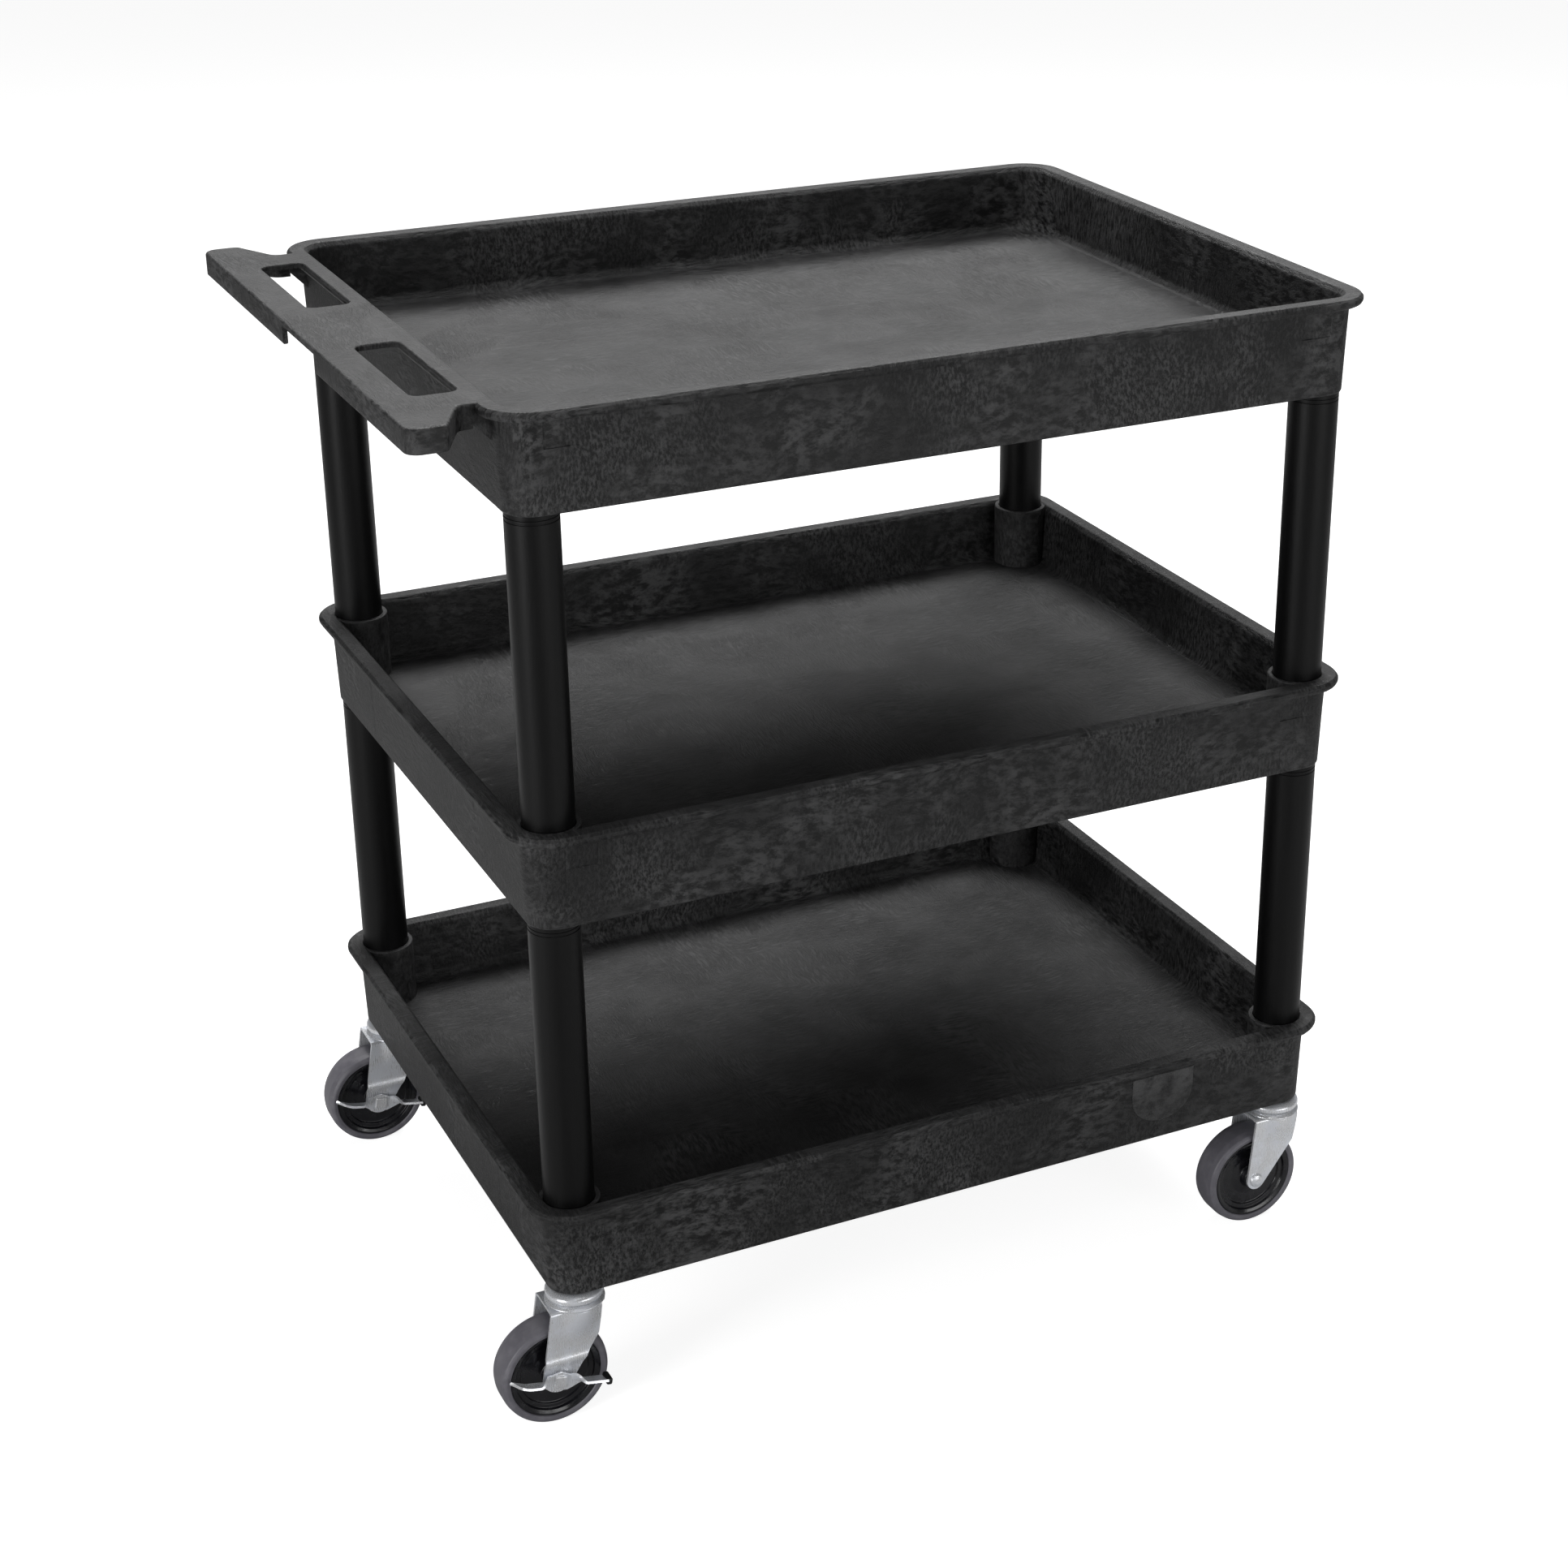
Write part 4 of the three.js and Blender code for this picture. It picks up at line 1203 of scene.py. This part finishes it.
@dataclass
class BrakeLever:
    """The side brake's rocking lever: a diamond web, a dished wing, a pedal wing and its grip."""

    caster: Caster
    thickness: float = 2.2 * MM
    half_length: float = 47 * MM
    pedal_end: float = 42 * MM
    web_half: float = 9 * MM
    flap_length: float = 13 * MM

    def section(self, x: float) -> list[Vector]:
        """The lever's outer face at a distance along it: up the web, then out along the wing."""
        c = self.caster
        y = -(c.fork_half + 0.35 * MM + self.thickness)
        end = self.half_length if x < 0 else self.pedal_end
        along = abs(x)
        spread_out = smoothstep(9 * MM, 22 * MM, along)
        web = min(self.web_half * (1 - smoothstep(0, 27 * MM, along)) + 1.7 * MM, self.web_half)
        rise = 3.2 * MM * smoothstep(30 * MM, self.half_length, along) if x < 0 else 0.8 * MM * spread_out
        lift = math.radians(90 - 84 * spread_out)
        tip = 1.0 if x > 0 else math.sqrt(max(1 - smoothstep(36 * MM, end + 0.2 * MM, along) ** 2, 0.02))
        length = (self.web_half + (self.flap_length - self.web_half) * spread_out) * tip
        if along < self.web_half:
            length = self.web_half * (1 - 0.35 * along / self.web_half)
        else:
            length *= 0.65 + 0.35 * spread_out
        points = [Vector((x, y, rise - web + web * k / 4)) for k in range(5)]
        for k in range(1, 9):
            t = k / 8
            curl = 1.6 * MM * t ** 3 * spread_out
            points.append(Vector((
                x, y - length * t * math.cos(lift), rise + length * t * math.sin(lift) + curl)))
        return points

    def build(self) -> None:
        """Presses the lever, bores it, and adds the grip."""
        c = self.caster
        count = 72
        start, stop = -self.half_length, self.pedal_end
        rows = [self.section(start + (stop - start) * k / count) for k in range(count + 1)]
        turn = Matrix.Translation(c.hub) @ Matrix.Rotation(c.lever_tilt, 4, "Y")
        lever = sheet(c.named("lever"), [[turn @ p for p in row] for row in rows], self.thickness, 0.5 * MM)
        across = 60 * MM
        radius = 4.3 * MM
        profile = [(0, -across), (radius, -across), (radius, 0), (0, 0)]
        bore = turned("bore", profile, c.hub, Axis.ACROSS, 32)
        carve(lever, bore, Cut.REMOVE)
        dress(lever, ZINC_STEEL, c.named("brake"), [c.named("brake_lever")], 40)
        y = -(c.fork_half + self.thickness)
        grip = box_solid(
            c.named("grip"), (self.pedal_end - 1.5 * MM, y - self.flap_length - 0.5 * MM, -2.2 * MM),
            (self.pedal_end + 4 * MM, y + 0.5 * MM, 4.2 * MM), 1.6 * MM)
        grip.data.transform(turn)
        dress(grip, GRIP_RUBBER, c.named("brake"), [c.named("pedal_grip")], 50)


# ---------- the whole cart ----------


@dataclass
class Cart:
    """The cart: its tubs, handle, legs and casters."""

    footprint: Footprint = field(init=False)
    leg_places: list[Vector] = field(init=False)

    def __post_init__(self) -> None:
        """Takes the driving places from the frame."""
        low, high = (Vector(v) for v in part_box("middle_tub"))
        half = (high - low) / 2
        self.footprint = Footprint((low + high) / 2, half.x, half.y)
        self.leg_places = [centre_of(f"{corner}_upper_leg") for corner in CORNERS]

    def build(self) -> None:
        """Builds every piece and dresses the CAD nodes that stay."""
        self.tubs()
        for corner in CORNERS:
            for level, tub in (("upper", "top_tub"), ("lower", "middle_tub")):
                LegTube(f"{corner}_{level}_leg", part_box(tub)[0][2]).build()
            Caster(corner, corner.startswith("rear")).build()
        self.dress_kept_nodes()

    def tubs(self) -> None:
        """The three tubs, the top one with its handle."""
        for name in ("top", "middle", "bottom"):
            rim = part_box(f"{name}_tub")[1][2]
            tub = Tub(f"{name}_tub_shell", self.footprint, rim, self.leg_places,
                      socket_above=name != "top", caster_socket=name == "bottom")
            tub.raise_walls()
            tub.score_floor()
            tub.score_walls()
            tub.clear_legs()
            tub.sink_recesses()
            parts = [tub.shell, *tub.sockets()]
            if name == "bottom":
                parts.append(tub.blank_pad())
            if name == "top":
                parts.append(Handle(tub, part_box("top_tub")[0][0]).build())
            tub.shell = gathered(tub.name, parts)
            tub.finish()

    @staticmethod
    def dress_kept_nodes() -> None:
        """Gives the hidden bushes that stay as CAD their material."""
        for corner in CORNERS:
            for part in ("stem_insert", "axle_sleeve"):
                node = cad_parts[f"{corner}_{part}"]
                for slot in node.material_slots:
                    slot.material = NYLON.material()
                LOG.info("%s keeps its CAD shape", node.name)


# ---------- studio ----------


@dataclass
class Studio:
    """A pale floor, soft lights and the camera."""

    camera_place: tuple[float, float, float] = (-1.0265, -2.3208, 1.5943)
    azimuth: float = 26.746
    elevation: float = 24.047
    roll: float = 0.157
    lens: float = 65.98
    shift: Pair = (-0.0851, -0.0127)

    def camera(self) -> None:
        """Stands the camera at the chosen viewing angle."""
        data = bpy.data.cameras.new("camera")
        data.sensor_width = 36
        data.lens = self.lens
        data.shift_x, data.shift_y = self.shift
        data.clip_start, data.clip_end = 0.05, 60
        made = bpy.data.objects.new("camera", data)
        turn = (
            Matrix.Rotation(-math.radians(self.azimuth), 4, "Z")
            @ Matrix.Rotation(math.pi / 2 - math.radians(self.elevation), 4, "X")
            @ Matrix.Rotation(math.radians(self.roll), 4, "Z")
        )
        made.matrix_world = Matrix.Translation(self.camera_place) @ turn
        bpy.context.scene.collection.objects.link(made)
        bpy.context.scene.camera = made

    def floor(self) -> None:
        """A wide pale floor, whiter to the eye than in reflections."""
        build = bmesh.new()
        bmesh.ops.create_grid(build, x_segments=2, y_segments=2, size=30)
        made = mesh_object("floor", build)
        material = bpy.data.materials.new("pale_floor")
        material.use_nodes = True
        tree = material.node_tree
        shader = tree.nodes["Principled BSDF"]
        shader.inputs["Roughness"].default_value = 0.9
        shader.inputs["Specular IOR Level"].default_value = 0.1
        shader.inputs["Base Color"].default_value = (0.5, 0.5, 0.5, 1)
        shader.inputs["Emission Color"].default_value = (1, 1, 1, 1)
        seen = put(tree, "LightPath").outputs["Is Camera Ray"]
        tree.links.new(maths(tree, "MULTIPLY", seen, 0.88), shader.inputs["Emission Strength"])
        made.data.materials.append(material)

    def light(self, name: str, place: tuple, target: tuple, size: Pair, power: float) -> None:
        """One soft rectangular light, turned to face a target."""
        data = bpy.data.lights.new(name, "AREA")
        data.shape = "RECTANGLE"
        data.size, data.size_y = size
        data.energy = power
        made = bpy.data.objects.new(name, data)
        made.location = place
        made.rotation_mode = "QUATERNION"
        made.rotation_quaternion = (Vector(target) - Vector(place)).to_track_quat("-Z", "Y")
        made.visible_camera = False
        bpy.context.scene.collection.objects.link(made)

    def lights(self) -> None:
        """A high panel behind, a softbox overhead, a key at the handle end and a low fill."""
        self.light("back", (1.2, 2.4, 3.8), (0.1, 0.1, 0.8), (4.4, 1.6), 200)
        self.light("overhead", (0.1, -0.2, 3.6), (0.05, 0, 0.6), (2.2, 1.8), 40)
        self.light("key", (-3.3, -1.5, 1.2), (-0.2, 0, 0.5), (0.9, 2.2), 62)
        self.light("fill", (1.2, -3.7, 0.9), (0, 0, 0.3), (2.6, 1.2), 38)

    def world(self) -> None:
        """White to the eye, dimmer as a light."""
        world = bpy.data.worlds.new("studio")
        bpy.context.scene.world = world
        world.use_nodes = True
        tree = world.node_tree
        seen = put(tree, "LightPath").outputs["Is Camera Ray"]
        strength = put(tree, "MapRange", {"Value": seen, "To Min": 0.12, "To Max": 1.0}).outputs["Result"]
        tree.links.new(strength, tree.nodes["Background"].inputs["Strength"])
        tree.nodes["Background"].inputs["Color"].default_value = (1, 1, 1, 1)

    def build(self) -> None:
        """Sets up everything round the cart."""
        self.camera()
        self.floor()
        self.lights()
        self.world()
        bpy.context.scene.view_settings.view_transform = "Standard"


def main() -> None:
    """Builds the studio and the cart."""
    logging.basicConfig(level=logging.INFO, format="%(name)s %(message)s")
    Studio().build()
    Cart().build()


if __name__ == "__main__":
    main()
